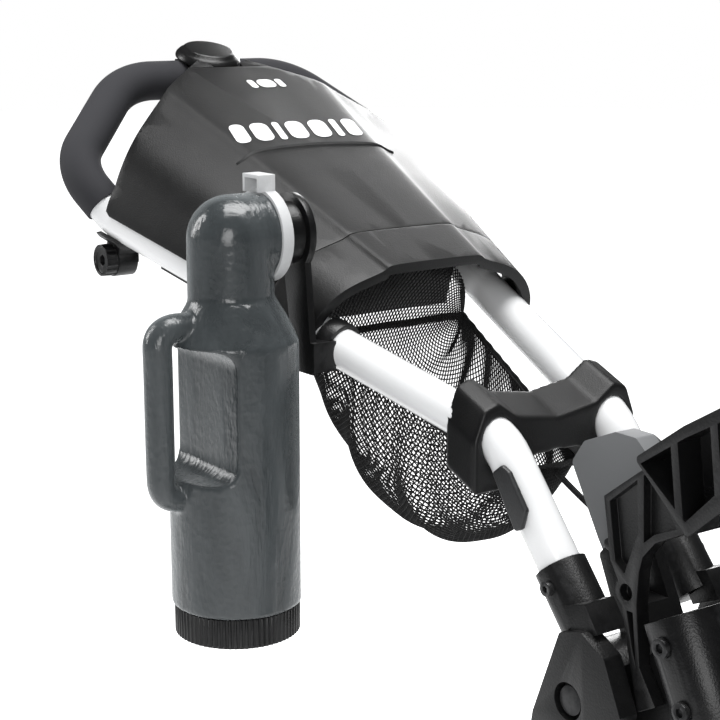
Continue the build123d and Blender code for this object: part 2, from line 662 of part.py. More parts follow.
def centre_hub():
    """Casting that joins the main tubes, the front leg and both rear legs."""
    body = None
    for side in (LEFT, RIGHT):
        y = side * MAIN_HALF
        cheek = cross_rod(HUB_X, HUB_Z, *mirrored(HUB_PLATE_IN, 62, side), 30)
        cheek += rod(on_main(MAIN_LENGTH - 50, y), on_main(MAIN_LENGTH + 8, y), 18)
        arm = [(HUB_X - 34, HUB_Z + 20), (HUB_X + 10, HUB_Z - 28), (LEG_X - 8, LEG_Z - 40),
               (LEG_X - 34, LEG_Z - 4), (LEG_X - 20, LEG_Z + 26)]
        cheek += plate(arm, *mirrored(HUB_PLATE_IN, 46, side))
        for sign in (1, -1):
            base = Vector(LEG_X, side * LEG_Y, LEG_Z) + LEG_AXIS * (sign * (KNUCKLE_HALF + 5))
            lug = rod(base - LEG_AXIS * 4.5, base + LEG_AXIS * 4.5, KNUCKLE_R)
            tie = Plane(origin=base, x_dir=LEG_DIR, z_dir=LEG_AXIS)
            lug += tie * (Pos(0, side * 15, 0) * Box(26, 30, 9))
            cheek += lug
        body = cheek if body is None else body + cheek
        body -= rod(on_main(MAIN_LENGTH - 51, y), on_main(MAIN_LENGTH, y), MAIN_R)
    web = [(HUB_X - 40, HUB_Z + 14), (HUB_X - 26, HUB_Z - 26), (LEG_X - 6, LEG_Z - 38),
           (LEG_X - 32, LEG_Z - 4), (LEG_X - 20, LEG_Z + 24)]
    body += plate(web, -HUB_PLATE_IN, HUB_PLATE_IN)
    body -= cross_rod(HUB_X, HUB_Z, -27.9, 27.9, 27)
    for side in (LEFT, RIGHT):
        pivot = Vector(LEG_X, side * LEG_Y, LEG_Z)
        reach = LEG_AXIS * (KNUCKLE_HALF + 0.5)
        body -= rod(pivot - reach, pivot + reach, KNUCKLE_R + 3)
        body -= rod(pivot - LEG_AXIS * 40, pivot + LEG_AXIS * 40, 5)
    return body - cross_rod(HUB_X, HUB_Z, -80, 80, HUB_PIN_R)


def hub_pins():
    """Pins on which the front leg folds and the rear legs swing, as separate solids."""
    pin = cross_rod(HUB_X, HUB_Z, -64.4, 64.4, HUB_PIN_R)
    for side in (LEFT, RIGHT):
        pin += cross_rod(HUB_X, HUB_Z, *mirrored(64.4, 69, side), 13)
    pins = [pin]
    reach = KNUCKLE_HALF + 9.5
    for side in (LEFT, RIGHT):
        pivot = Vector(LEG_X, side * LEG_Y, LEG_Z)
        pin = rod(pivot - LEG_AXIS * reach, pivot + LEG_AXIS * reach, 5)
        pins.append(pin + rod(pivot + LEG_AXIS * reach, pivot + LEG_AXIS * (reach + 4), 9))
    return Compound(children=pins)


# ---- front leg -----------------------------------------------------------------------------------
FRONT_DIR = Vector(FRONT_X - HUB_X, 0, AXLE_Z - HUB_Z).normalized()
FRONT_LENGTH = sqrt((FRONT_X - HUB_X) ** 2 + (AXLE_Z - HUB_Z) ** 2)
FRONT_SIDE = Vector(-FRONT_DIR.Z, 0, FRONT_DIR.X)
CROWN_NEAR, CROWN_FAR = 218.0, 262.0
BLADE_IN, BLADE_OUT = 31.0, 41.0


def on_leg(r, d):
    """X and Z at r down the front leg, d out from it on the bag's side."""
    point = Vector(HUB_X, 0, HUB_Z) + FRONT_DIR * r + FRONT_SIDE * d
    return point.X, point.Z


def front_knuckle():
    """End fitting of the front leg on its pin."""
    body = cross_rod(HUB_X, HUB_Z, -HUB_PLATE_IN + 0.4, HUB_PLATE_IN - 0.4, 24)
    start, end = on_leg(0, 0), on_leg(70, 0)
    body += rod((start[0], 0, start[1]), (end[0], 0, end[1]), 20)
    hole, far = on_leg(26, 0), on_leg(71, 0)
    body -= rod((hole[0], 0, hole[1]), (far[0], 0, far[1]), 16)
    return body - cross_rod(HUB_X, HUB_Z, -30, 30, HUB_PIN_R + FIT)


def front_tube():
    """Tube of the front leg."""
    start, end = on_leg(26, 0), on_leg(CROWN_NEAR + 30, 0)
    return rod((start[0], 0, start[1]), (end[0], 0, end[1]), 16, 14)


def front_fork():
    """Crown and two blades that hold the front wheel's axle."""
    crown_outline = [on_leg(CROWN_NEAR, -22), on_leg(CROWN_NEAR, 22), on_leg(CROWN_FAR, 26),
                     on_leg(CROWN_FAR, -26)]
    body = plate(crown_outline, -BLADE_OUT, BLADE_OUT, 5)
    for side in (LEFT, RIGHT):
        blade = [on_leg(CROWN_NEAR + 4, -22), on_leg(CROWN_NEAR + 4, 22), on_leg(FRONT_LENGTH - 10, 17),
                 on_leg(FRONT_LENGTH + 12, 12), on_leg(FRONT_LENGTH + 12, -12),
                 on_leg(FRONT_LENGTH - 10, -17)]
        low, high = mirrored(BLADE_IN, BLADE_OUT, side)
        body += plate(blade, low, high, 3)
        body += cross_rod(FRONT_X, AXLE_Z, *mirrored(BLADE_IN, BLADE_OUT + 3, side), 17)
    start, end = on_leg(CROWN_NEAR - 1, 0), on_leg(CROWN_NEAR + 30, 0)
    body -= rod((start[0], 0, start[1]), (end[0], 0, end[1]), 16)
    return body - cross_rod(FRONT_X, AXLE_Z, -60, 60, AXLE_R)


def axle(x, z, y_low, y_high, heads):
    """Wheel axle with a head at each end named in heads."""
    body = cross_rod(x, z, y_low, y_high, AXLE_R)
    for y in heads:
        outward = 1 if y == y_high else -1
        body += cross_rod(x, z, *sorted((y, y + outward * 5)), 10)
    return body


SHELF_HALF = 70.0


def bag_shelf():
    """Foot that the golf bag stands on, with a lip at its front."""
    near, far = 236.0, 256.0
    plate_near, plate_far = 16.0, 168.0
    outline = [on_leg(near, plate_near), on_leg(near + 8, plate_near), on_leg(near + 12, plate_far - 10),
               on_leg(near + 6, plate_far), on_leg(near - 22, plate_far + 4),
               on_leg(near - 23, plate_far - 3),
               on_leg(near + 3, plate_far - 8)]
    body = plate(outline, -SHELF_HALF, SHELF_HALF)
    rib = [on_leg(far - 6, 24), on_leg(near + 6, 18), on_leg(near + 6, 80)]
    for y in (-48, 44):
        body += plate(rib, y, y + 4)
    return body - front_fork() - rod_leg_clearance()


def rod_leg_clearance():
    """Space of the front leg's tube."""
    start, end = on_leg(0, 0), on_leg(CROWN_FAR, 0)
    return rod((start[0], 0, start[1]), (end[0], 0, end[1]), 16.2)


# ---- rear legs -----------------------------------------------------------------------------------
LEG_END_Y = 252.0


def leg_line(side, t):
    """Point along a rear leg, from its pivot (0) to its wheel bracket (1)."""
    return Vector(LEG_X + (REAR_X - LEG_X) * t, side * (LEG_Y + (LEG_END_Y - LEG_Y) * t),
                  LEG_Z + (AXLE_Z - LEG_Z) * t)


def rear_knuckle(side):
    """Inner end fitting of a rear leg, turning on the leg pin."""
    pivot = leg_line(side, 0)
    body = rod(pivot - LEG_AXIS * KNUCKLE_HALF, pivot + LEG_AXIS * KNUCKLE_HALF, KNUCKLE_R)
    body += rod(leg_line(side, 0.02), leg_line(side, 0.13), 16)
    body -= rod(leg_line(side, 0.05), leg_line(side, 0.14), MAIN_R)
    return body - rod(pivot - LEG_AXIS * 40, pivot + LEG_AXIS * 40, 5 + FIT)


def rear_leg(side):
    """Tube of a rear leg."""
    return rod(leg_line(side, 0.05), leg_line(side, 0.93), MAIN_R, MAIN_BORE)


def wheel_bracket(side):
    """Outer end fitting of a rear leg, which holds the wheel's axle."""
    inner, outer = LEG_END_Y - 18, REAR_Y - HUB_HALF - 1
    body = rod(leg_line(side, 0.86), leg_line(side, 0.97), 17)
    body += cross_rod(REAR_X, AXLE_Z, *mirrored(inner, outer, side), 20)
    body -= rod(leg_line(side, 0.85), leg_line(side, 0.93), MAIN_R)
    return body - cross_rod(REAR_X, AXLE_Z, *mirrored(inner - 1, outer + 1, side), AXLE_R)


# ---- wheels --------------------------------------------------------------------------------------
RIM_R = 112.0
SPOKES = 6


def turned(profile, x, y, z):
    """Solid of revolution about a wheel's axis, from (radius, offset along the axle) points."""
    face = make_face(Polyline(*profile, close=True))
    solid = revolve(Plane.XY * face, axis=Axis.Y, revolution_arc=360)
    return Pos(x, y, z) * solid


def tyre(x, y, z, width):
    """Airless tyre with two grooves round its tread."""
    half = width / 2
    profile = [(RIM_R, -half + 8), (RIM_R + 10, -half), (WHEEL_R - 14, -half), (WHEEL_R - 4, -half + 7),
               (WHEEL_R, -half + 16), (WHEEL_R, -10), (WHEEL_R - 3, -9), (WHEEL_R - 3, -6), (WHEEL_R, -5)]
    profile += [(r, -w) for r, w in reversed(profile)]
    return turned(profile, x, y, z)


def rim(x, y, z):
    """Spoked rim with a bored hub."""
    flange = [(RIM_R, -19), (RIM_R, 19), (RIM_R - 5, 19), (RIM_R - 10, 12), (RIM_R - 10, -12),
              (RIM_R - 5, -19)]
    hub = [(11, -HUB_HALF), (20, -HUB_HALF), (25, -14), (25, 14), (20, HUB_HALF), (11, HUB_HALF),
           (11, HUB_HALF - 7), (8, HUB_HALF - 7), (8, -HUB_HALF + 7), (11, -HUB_HALF + 7)]
    body = turned(flange, x, y, z) + turned(hub, x, y, z)
    spoke_outline = [(22, -13), (RIM_R - 8, -9), (RIM_R - 8, 9), (22, 13)]
    for i in range(SPOKES):
        face = make_face(Polyline(*spoke_outline, close=True))
        spoke = extrude(Plane.XZ * face, amount=9, both=True)
        body += Pos(x, y, z) * (Rot(0, 360 / SPOKES * i, 0) * spoke)
    return body


def bearings(x, y, z):
    """Two bearings in a wheel's hub."""
    pair = []
    for low in (-HUB_HALF, HUB_HALF - 7):
        pair.append(cross_rod(x, z, y + low, y + low + 7, 11, AXLE_R + FIT))
    return Compound(children=pair)


# ---- brake and leg latch -------------------------------------------------------------------------
BRAKE_X, BRAKE_Z = REAR_X - 34.0, AXLE_Z + 40.0


def brake_mount():
    """Lug on the left wheel bracket, with the pin that the brake pedal turns on."""
    low, high = LEG_END_Y - 14, LEG_END_Y - 4
    arm = [(REAR_X - 8, AXLE_Z + 8), (REAR_X + 8, AXLE_Z + 18), (BRAKE_X + 8, BRAKE_Z + 8),
           (BRAKE_X - 8, BRAKE_Z - 6)]
    body = plate(arm, low, high, 2)
    body += cross_rod(BRAKE_X, BRAKE_Z, low, high, 10)
    body += cross_rod(BRAKE_X, BRAKE_Z, low, LEG_END_Y + 10, 4)
    return body - wheel_bracket(LEFT)


def brake_pedal():
    """Foot pedal whose pad is pressed on to the tyre's inner shoulder."""
    outline = [(BRAKE_X + 8, BRAKE_Z - 9), (BRAKE_X + 10, BRAKE_Z + 8), (BRAKE_X - 10, BRAKE_Z + 10),
               (BRAKE_X - 62, BRAKE_Z + 22), (BRAKE_X - 64, BRAKE_Z + 14), (BRAKE_X - 12, BRAKE_Z - 8)]
    body = plate(outline, LEG_END_Y - 3.6, LEG_END_Y + 8, 2)
    tread = [(BRAKE_X - 62, BRAKE_Z + 22), (BRAKE_X - 36, BRAKE_Z + 16), (BRAKE_X - 36, BRAKE_Z + 11),
             (BRAKE_X - 64, BRAKE_Z + 17)]
    body += plate(tread, LEG_END_Y - 44, LEG_END_Y + 8)
    return body - cross_rod(BRAKE_X, BRAKE_Z, LEG_END_Y - 20, LEG_END_Y + 20, 4 + FIT)


# ---- all sub-parts -------------------------------------------------------------------------------
def name_of(side):
    """Word for a side in a node's name."""
    return "left" if side == LEFT else "right"


def wheel(prefix, x, y, z, width):
    """Nodes of one wheel."""
    return {
        prefix + "_tyre": tyre(x, y, z, width),
        prefix + "_rim": rim(x, y, z),
        prefix + "_bearings": bearings(x, y, z),
    }


def build():
    """Every sub-part by its node name."""
    parts = {}
    shell = console_shell()
    hub = upper_hub()
    for side in (LEFT, RIGHT):
        word = name_of(side)
        parts["handle_tube_" + word] = handle_tube(side)
        parts["grip_" + word] = grip(side)
        parts["handle_yoke_" + word] = handle_yoke(side)
        parts["main_tube_" + word] = main_tube(side)
        parts["cradle_plate_" + word] = cradle_plate(side, hub)
        parts["cradle_arm_" + word] = cradle_arm(side)
        parts["leg_knuckle_" + word] = rear_knuckle(side)
        parts["rear_leg_" + word] = rear_leg(side)
        parts["wheel_bracket_" + word] = wheel_bracket(side)
        y_inner, y_outer = LEG_END_Y - 20, REAR_Y + HUB_HALF + 1
        low, high = mirrored(y_inner, y_outer, side)
        parts["rear_axle_" + word] = axle(REAR_X, AXLE_Z, low, high, [high if side == LEFT else low])
        parts.update(wheel("wheel_" + word, REAR_X, side * REAR_Y, AXLE_Z, REAR_TYRE_W))
    parts["accessory_brackets"] = Compound(children=[accessory_bracket(LEFT), accessory_bracket(RIGHT)])
    parts["umbrella_socket"] = umbrella_socket()
    parts["umbrella_cap"] = umbrella_cap()
    parts["console_visor"] = console_visor(shell)
    parts["console_lid"] = console_lid(shell)
    parts["console_rear_panel"] = console_rear(shell)
    parts["console_tray"] = console_tray()
    tubes = [pipe([Vector(BEND_X, side * BEND_HALF, BEND_Z) + LOWER * 80,
                   Vector(BEND_X, side * BEND_HALF, BEND_Z),
                   on_handle(90, side * half_spacing(90), 0)], [45], TUBE_R) for side in (LEFT, RIGHT)]
    parts["saddle"] = saddle(tubes)
    parts["clamp_tabs"] = Compound(children=[clamp_tab(LEFT), clamp_tab(RIGHT)])
    parts["knob_right"] = knob(RIGHT)
    parts["bottle_bracket"] = bottle_bracket()
    parts["bottle"] = bottle()
    parts["bottle_ring"] = bottle_ring()
    parts["bottle_base_cap"] = bottle_base_cap()
    parts["mesh_basket"] = mesh_basket()
    parts["basket_cord"] = basket_cord()
    parts["handle_screws"] = handle_screws()
    parts["upper_hub"] = hub
    parts["hinge_pin"] = hinge_pin()
    parts["latch_lever"] = latch_lever()
    parts["cradle_bridge"] = cradle_bridge()
    parts["frame_fasteners"] = frame_fasteners()
    parts["centre_hub"] = centre_hub()
    parts["hub_pins"] = hub_pins()
    parts["front_knuckle"] = front_knuckle()
    parts["front_tube"] = front_tube()
    parts["front_fork"] = front_fork()
    parts["bag_shelf"] = bag_shelf()
    axle_end = BLADE_OUT + 3
    parts["front_axle"] = axle(FRONT_X, AXLE_Z, -axle_end, axle_end, [-axle_end, axle_end])
    parts.update(wheel("front_wheel", FRONT_X, 0, AXLE_Z, FRONT_TYRE_W))
    parts["brake_mount"] = brake_mount()
    parts["brake_pedal"] = brake_pedal()
    return parts


if __name__ == "__main__":
    for node, solid in build().items():
        export_step(solid, "parts/" + node + ".step")
        print(node, round(solid.volume / 1000, 1), "cm3")
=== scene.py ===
"""Looks of a folding three-wheeled golf push trolley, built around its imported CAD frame.

Everything is in metres in the frame's own axes: X points forward, Y left and Z up. Each class holds the
sizes of one sub-assembly and builds and dresses its pieces; main() builds them in order.
"""
import json
import logging
import math
from dataclasses import dataclass
from enum import Enum
from typing import Callable, Optional, Sequence

import bpy
import numpy as np
from mathutils import Matrix, Vector

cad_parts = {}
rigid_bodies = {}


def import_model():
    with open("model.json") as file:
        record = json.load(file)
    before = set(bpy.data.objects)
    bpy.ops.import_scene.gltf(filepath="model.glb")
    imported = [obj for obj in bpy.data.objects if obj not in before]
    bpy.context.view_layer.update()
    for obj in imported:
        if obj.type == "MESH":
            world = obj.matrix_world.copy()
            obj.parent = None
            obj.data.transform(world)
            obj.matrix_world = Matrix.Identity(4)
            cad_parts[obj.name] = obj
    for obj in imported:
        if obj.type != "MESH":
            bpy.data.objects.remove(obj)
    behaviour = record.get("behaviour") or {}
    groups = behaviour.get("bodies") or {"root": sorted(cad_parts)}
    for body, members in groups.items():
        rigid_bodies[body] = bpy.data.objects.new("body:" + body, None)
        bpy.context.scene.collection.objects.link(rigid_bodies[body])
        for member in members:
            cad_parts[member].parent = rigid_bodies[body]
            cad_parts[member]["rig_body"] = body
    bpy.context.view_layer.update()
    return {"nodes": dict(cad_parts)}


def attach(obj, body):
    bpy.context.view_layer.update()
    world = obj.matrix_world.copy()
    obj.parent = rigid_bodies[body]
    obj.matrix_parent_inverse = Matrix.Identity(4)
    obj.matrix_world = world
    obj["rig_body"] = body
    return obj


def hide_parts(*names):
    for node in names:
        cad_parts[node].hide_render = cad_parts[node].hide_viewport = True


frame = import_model()

logging.basicConfig(level=logging.INFO, format="%(message)s")
LOG = logging.getLogger("trolley")

Colour = tuple[float, float, float]
Piece = bpy.types.Object
Face = bpy.types.MeshPolygon
Node = bpy.types.Node
Socket = bpy.types.NodeSocket

# ---- places shared with the CAD model ----
BEND = Vector((-0.118, 0.0, 0.806))         # handle's bend, on the centre plane
UPPER_PITCH = math.radians(17.0)            # upper handle tubes rise towards the rear
REARWARD = Vector((-math.cos(UPPER_PITCH), 0.0, math.sin(UPPER_PITCH)))
UPWARD = Vector((math.sin(UPPER_PITCH), 0.0, math.cos(UPPER_PITCH)))
BEND_HALF = 0.048                           # half spacing of the handle tubes at the bend
TAPER = 0.2286                              # half spacing gained for each metre rearwards


def on_handle(along: float, side: float, height: float) -> Vector:
    """Point on the upper handle.

    Args:
        along: distance rearwards from the bend.
        side: distance to the left of the centre plane.
        height: distance above the plane of the two tubes.

    Returns:
        The point in the frame's axes.
    """
    return BEND + REARWARD * along + UPWARD * height + Vector((0.0, side, 0.0))


# ---- selecting and shaping ----
def select_only(*pieces: Piece) -> None:
    """Selects these objects and nothing else, and makes the first one active."""
    bpy.ops.object.select_all(action="DESELECT")
    for piece in pieces:
        piece.select_set(True)
    bpy.context.view_layer.objects.active = pieces[0]


def new_piece(name: str) -> Piece:
    """Names the object that an operator has just added.

    Args:
        name: the piece's name.

    Returns:
        The object, its mesh or curve named after it.
    """
    piece = bpy.context.object
    piece.name = name
    piece.data.name = name
    return piece


def bake_place(piece: Piece) -> Piece:
    """Moves an object's place, turn and size into its mesh."""
    select_only(piece)
    bpy.ops.object.transform_apply(location=True, rotation=True, scale=True)
    return piece


def edit(piece: Piece, *steps: Callable[[], object]) -> Piece:
    """Runs edit-mode steps on everything in a piece.

    Args:
        piece: the mesh object.
        steps: functions called in edit mode, in order, with all faces selected before the first.

    Returns:
        The same object, back in object mode.
    """
    select_only(piece)
    bpy.ops.object.mode_set(mode="EDIT")
    bpy.ops.mesh.select_all(action="SELECT")
    for step in steps:
        step()
    bpy.ops.object.mode_set(mode="OBJECT")
    return piece


def edit_faces(piece: Piece, wanted: Callable[[Face], bool],
               *steps: Callable[[], object]) -> Piece:
    """Runs edit-mode steps on the faces that pass a test.

    Args:
        piece: the mesh object.
        wanted: says whether a face is selected.
        steps: functions called in edit mode, in order.

    Returns:
        The same object, back in object mode.
    """
    select_only(piece)
    bpy.ops.object.mode_set(mode="EDIT")
    bpy.ops.mesh.select_mode(type="FACE")
    bpy.ops.mesh.select_all(action="DESELECT")
    bpy.ops.object.mode_set(mode="OBJECT")
    mesh = piece.data
    mesh.polygons.foreach_set("select", [wanted(face) for face in mesh.polygons])
    bpy.ops.object.mode_set(mode="EDIT")
    for step in steps:
        step()
    bpy.ops.object.mode_set(mode="OBJECT")
    return piece


def modify(piece: Piece, kind: str, **settings: object) -> Piece:
    """Adds a modifier, sets it and applies it.

    Args:
        piece: the mesh object.
        kind: Blender's name of the modifier type.
        settings: the modifier's properties.

    Returns:
        The same object.
    """
    select_only(piece)
    modifier = piece.modifiers.new(kind.lower(), kind)
    for key, value in settings.items():
        setattr(modifier, key, value)
    bpy.ops.object.modifier_apply(modifier=modifier.name)
    return piece


def round_edges(piece: Piece, width: float, segments: int = 2, angle: float = 30.0) -> Piece:
    """Rounds a piece's sharp edges.

    Args:
        piece: the mesh object.
        width: how far the rounding reaches from an edge.
        segments: faces across the rounding.
        angle: the least angle in degrees between two faces that counts as sharp.

    Returns:
        The same object.
    """
    return modify(piece, "BEVEL", width=width, segments=segments, limit_method="ANGLE",
                  angle_limit=math.radians(angle), use_clamp_overlap=True)


def smooth(piece: Piece, angle: float = 38.0) -> Piece:
    """Shades a piece smooth, apart from edges sharper than an angle in degrees."""
    select_only(piece)
    bpy.ops.object.shade_smooth_by_angle(angle=math.radians(angle))
    return piece


def cad_copy(node: str, name: str) -> Piece:
    """Copies a CAD node's mesh, with its triangles joined into faces.

    Args:
        node: the CAD node's name.
        name: the new piece's name.

    Returns:
        The copy, ready to be shaped.
    """
    piece = bpy.data.objects.new(name, frame["nodes"][node].data.copy())
    bpy.context.scene.collection.objects.link(piece)
    piece.data.materials.clear()
    select_only(piece)
    bpy.ops.mesh.customdata_custom_splitnormals_clear()
    return edit(piece, lambda: bpy.ops.mesh.remove_doubles(threshold=1e-5),
                lambda: bpy.ops.mesh.dissolve_limited(angle_limit=math.radians(0.4)))


def join(name: str, pieces: Sequence[Piece]) -> Piece:
    """Joins meshes into one piece.

    Args:
        name: the joined piece's name.
        pieces: the meshes, of which the first one stays.

    Returns:
        The joined object.
    """
    select_only(*pieces)
    bpy.ops.object.join()
    return new_piece(name)


def bar(name: str, start: Vector, end: Vector, radius: float, far_radius: Optional[float] = None,
        vertices: int = 64) -> Piece:
    """Round bar or cone between two points, with its place in its mesh.

    Args:
        name: the piece's name.
        start: centre of one end.
        end: centre of the other end.
        radius: radius at the start.
        far_radius: radius at the end, if it differs.
        vertices: points round it.

    Returns:
        The new object.
    """
    run = end - start
    bpy.ops.mesh.primitive_cone_add(
        vertices=vertices, radius1=radius, radius2=radius if far_radius is None else far_radius,
        depth=run.length, location=(start + end) / 2, rotation=run.to_track_quat("Z", "Y").to_euler())
    return bake_place(new_piece(name))


def sweep(name: str, points: Sequence[Vector], radius: float, resolution: int = 10) -> Piece:
    """Closed round cord or rod, as a mesh, along a smooth NURBS line.

    Args:
        name: the piece's name.
        points: the line's control points.
        radius: radius of the section.
        resolution: points on each stretch of the line.

    Returns:
        The new mesh object.
    """
    curve = bpy.data.curves.new(name, "CURVE")
    curve.dimensions = "3D"
    spline = curve.splines.new("NURBS")
    spline.points.add(len(points) - 1)
    for target, point in zip(spline.points, points):
        target.co = (*point, 1.0)
    spline.order_u = 3
    spline.use_endpoint_u = True
    curve.resolution_u = resolution
    curve.bevel_depth = radius
    curve.bevel_resolution = 6
    curve.use_fill_caps = True
    piece = bpy.data.objects.new(name, curve)
    bpy.context.scene.collection.objects.link(piece)
    select_only(piece)
    bpy.ops.object.convert(target="MESH")
    return bpy.context.object


def mesh_piece(name: str, points: np.ndarray, faces: Sequence[Sequence[int]]) -> Piece:
    """Makes a mesh piece from its points and faces.

    Args:
        name: the piece's name.
        points: one row of x, y and z for each point.
        faces: the points of each face.

    Returns:
        The new object.
    """
    mesh = bpy.data.meshes.new(name)
    mesh.from_pydata([tuple(row) for row in points], [], [tuple(face) for face in faces])
    mesh.update()
    piece = bpy.data.objects.new(name, mesh)
    bpy.context.scene.collection.objects.link(piece)
    return piece


# ---- shader node groups ----
Sockets = dict[str, Socket]


class Effect(Enum):
    """Shader node groups that several finishes share."""

    GRAIN = "fine_grain"
    WEAR = "edge_wear"
    DUST = "settled_dust"


class NodeMaker:
    """Adds and links nodes in one node tree."""

    def __init__(self, tree: bpy.types.NodeTree) -> None:
        """Keeps the tree that nodes are added to."""
        self.tree = tree

    def add(self, kind: str, **settings: object) -> Node:
        """Adds a node.

        Args:
            kind: the node's type, without its ShaderNode prefix.
            settings: properties of the node; a name that isn't one is an input's name, with _ for a space.

        Returns:
            The new node.
        """
        node = self.tree.nodes.new("ShaderNode" + kind)
        for key, value in settings.items():
            if hasattr(node, key):
                setattr(node, key, value)
            else:
                node.inputs[key.replace("_", " ")].default_value = value
        return node

    def link(self, output: Socket, target: Socket) -> None:
        """Joins an output to an input."""
        self.tree.links.new(output, target)

    def texture(self, kind: str, place: Socket, **settings: object) -> Node:
        """Adds a texture that reads a place.

        Args:
            kind: the texture's type, without its ShaderNode prefix.
            place: the vector that it reads.
            settings: as for add.

        Returns:
            The new node.
        """
        node = self.add(kind, **settings)
        self.link(place, node.inputs["Vector"])
        return node

    def math(self, operation: str, first: object, second: object = 0.0) -> Socket:
        """Adds a Math node.

        Args:
            operation: Blender's name of the operation.
            first: a socket or a number.
            second: a socket or a number.

        Returns:
            The node's output.
        """
        node = self.add("Math", operation=operation)
        for place, value in enumerate((first, second)):
            if isinstance(value, (int, float)):
                node.inputs[place].default_value = value
            else:
                self.link(value, node.inputs[place])
        return node.outputs[0]

    def spread(self, value: Socket, low: float, high: float,
               to_low: float = 0.0, to_high: float = 1.0) -> Socket:
        """Maps a value's range to another range, held inside it.

        Args:
            value: the socket that is mapped.
            low: value that gives to_low.
            high: value that gives to_high.
            to_low: result at low.
            to_high: result at high.

        Returns:
            The mapped value.
        """
        node = self.add("MapRange", clamp=True)
        self.link(value, node.inputs["Value"])
        for key, number in (("From Min", low), ("From Max", high), ("To Min", to_low), ("To Max", to_high)):
            node.inputs[key].default_value = number
        return node.outputs["Result"]

    def blend(self, mask: Socket, first: object, second: object) -> Socket:
        """Mixes two colours by a mask.

        Args:
            mask: share of the second colour.
            first: a colour or a socket.
            second: a colour or a socket.

        Returns:
            The mixed colour.
        """
        node = self.add("Mix", data_type="RGBA")
        self.link(mask, node.inputs["Factor"])
        for socket, value in ((node.inputs[6], first), (node.inputs[7], second)):
            if isinstance(value, tuple):
                socket.default_value = (*value, 1.0)
            else:
                self.link(value, socket)
        return node.outputs[2]


def group_of(effect: Effect, inputs: dict[str, float], outputs: dict[str, str],
             build: Callable[[NodeMaker, Node], Sockets]) -> None:
    """Makes a shader node group once.

    Args:
        effect: which group it is.
        inputs: default value of each input.
        outputs: socket type of each output.
        build: adds the nodes and gives the socket for each output.
    """
    tree = bpy.data.node_groups.new(effect.value, "ShaderNodeTree")
    for name, value in inputs.items():
        tree.interface.new_socket(name, in_out="INPUT", socket_type="NodeSocketFloat").default_value = value
    for name, kind in outputs.items():
        tree.interface.new_socket(name, in_out="OUTPUT", socket_type=kind)
    maker = NodeMaker(tree)
    entry, leave = tree.nodes.new("NodeGroupInput"), tree.nodes.new("NodeGroupOutput")
    for name, socket in build(maker, entry).items():
        maker.link(socket, leave.inputs[name])


def make_effects() -> None:
    """Makes the node groups for moulded grain, worn edges and settled dust."""

    def grain(maker: NodeMaker, entry: Node) -> Sockets:
        """Fine pebbles, and a broad drift."""
        place = maker.add("TexCoord").outputs["Object"]
        pebbles = maker.texture("TexVoronoi", place, feature="F1")
        haze = maker.texture("TexNoise", place, Detail=1.0, Roughness=0.6)
        broad = maker.texture("TexNoise", place, Scale=9.0, Detail=2.0, Roughness=0.55)
        maker.link(entry.outputs["Scale"], pebbles.inputs["Scale"])
        maker.link(maker.math("MULTIPLY", entry.outputs["Scale"], 0.55), haze.inputs["Scale"])
        height = maker.math("MULTIPLY_ADD", haze.outputs["Fac"], 0.8)
        maker.link(pebbles.outputs["Distance"], height.node.inputs[2])
        return {"Height": height, "Variation": maker.spread(broad.outputs["Fac"], 0.32, 0.68)}

    def wear(maker: NodeMaker, entry: Node) -> Sockets:
        """Patchy rubbing along outer edges."""
        place, shape = maker.add("TexCoord").outputs["Object"], maker.add("NewGeometry")
        noise = maker.texture("TexNoise", place, Scale=140.0, Detail=2.0, Roughness=0.7)
        edge = maker.spread(shape.outputs["Pointiness"], 0.515, 0.6)
        patchy = maker.spread(noise.outputs["Fac"], 0.35, 0.7)
        rubbed = maker.math("MULTIPLY", edge, patchy)
        return {"Mask": maker.math("MULTIPLY", rubbed, entry.outputs["Amount"])}

    def dust(maker: NodeMaker, entry: Node) -> Sockets:
        """Clouds of dust on faces that look up."""
        place, shape = maker.add("TexCoord").outputs["Object"], maker.add("NewGeometry")
        split = maker.add("SeparateXYZ")
        noise = maker.texture("TexNoise", place, Scale=38.0, Detail=4.0, Roughness=0.68)
        maker.link(shape.outputs["Normal"], split.inputs[0])
        upward = maker.spread(split.outputs["Z"], 0.1, 1.0)
        cloud = maker.spread(noise.outputs["Fac"], 0.4, 0.75)
        lying = maker.math("MULTIPLY", upward, cloud)
        return {"Mask": maker.math("MULTIPLY", lying, entry.outputs["Amount"])}

    number = "NodeSocketFloat"
    group_of(Effect.GRAIN, {"Scale": 900.0}, {"Height": number, "Variation": number}, grain)
    group_of(Effect.WEAR, {"Amount": 0.5}, {"Mask": number}, wear)
    group_of(Effect.DUST, {"Amount": 0.3}, {"Mask": number}, dust)


def place_effect(maker: NodeMaker, effect: Effect, **values: float) -> Node:
    """Puts a shared effect in a material, with its own values."""
    node = maker.tree.nodes.new("ShaderNodeGroup")
    node.node_tree = bpy.data.node_groups[effect.value]
    for key, value in values.items():
        node.inputs[key].default_value = value
    return node


# ---- finishes ----
DUST_COLOUR = (0.32, 0.31, 0.29)
Skin = tuple[Socket, Socket, Socket]


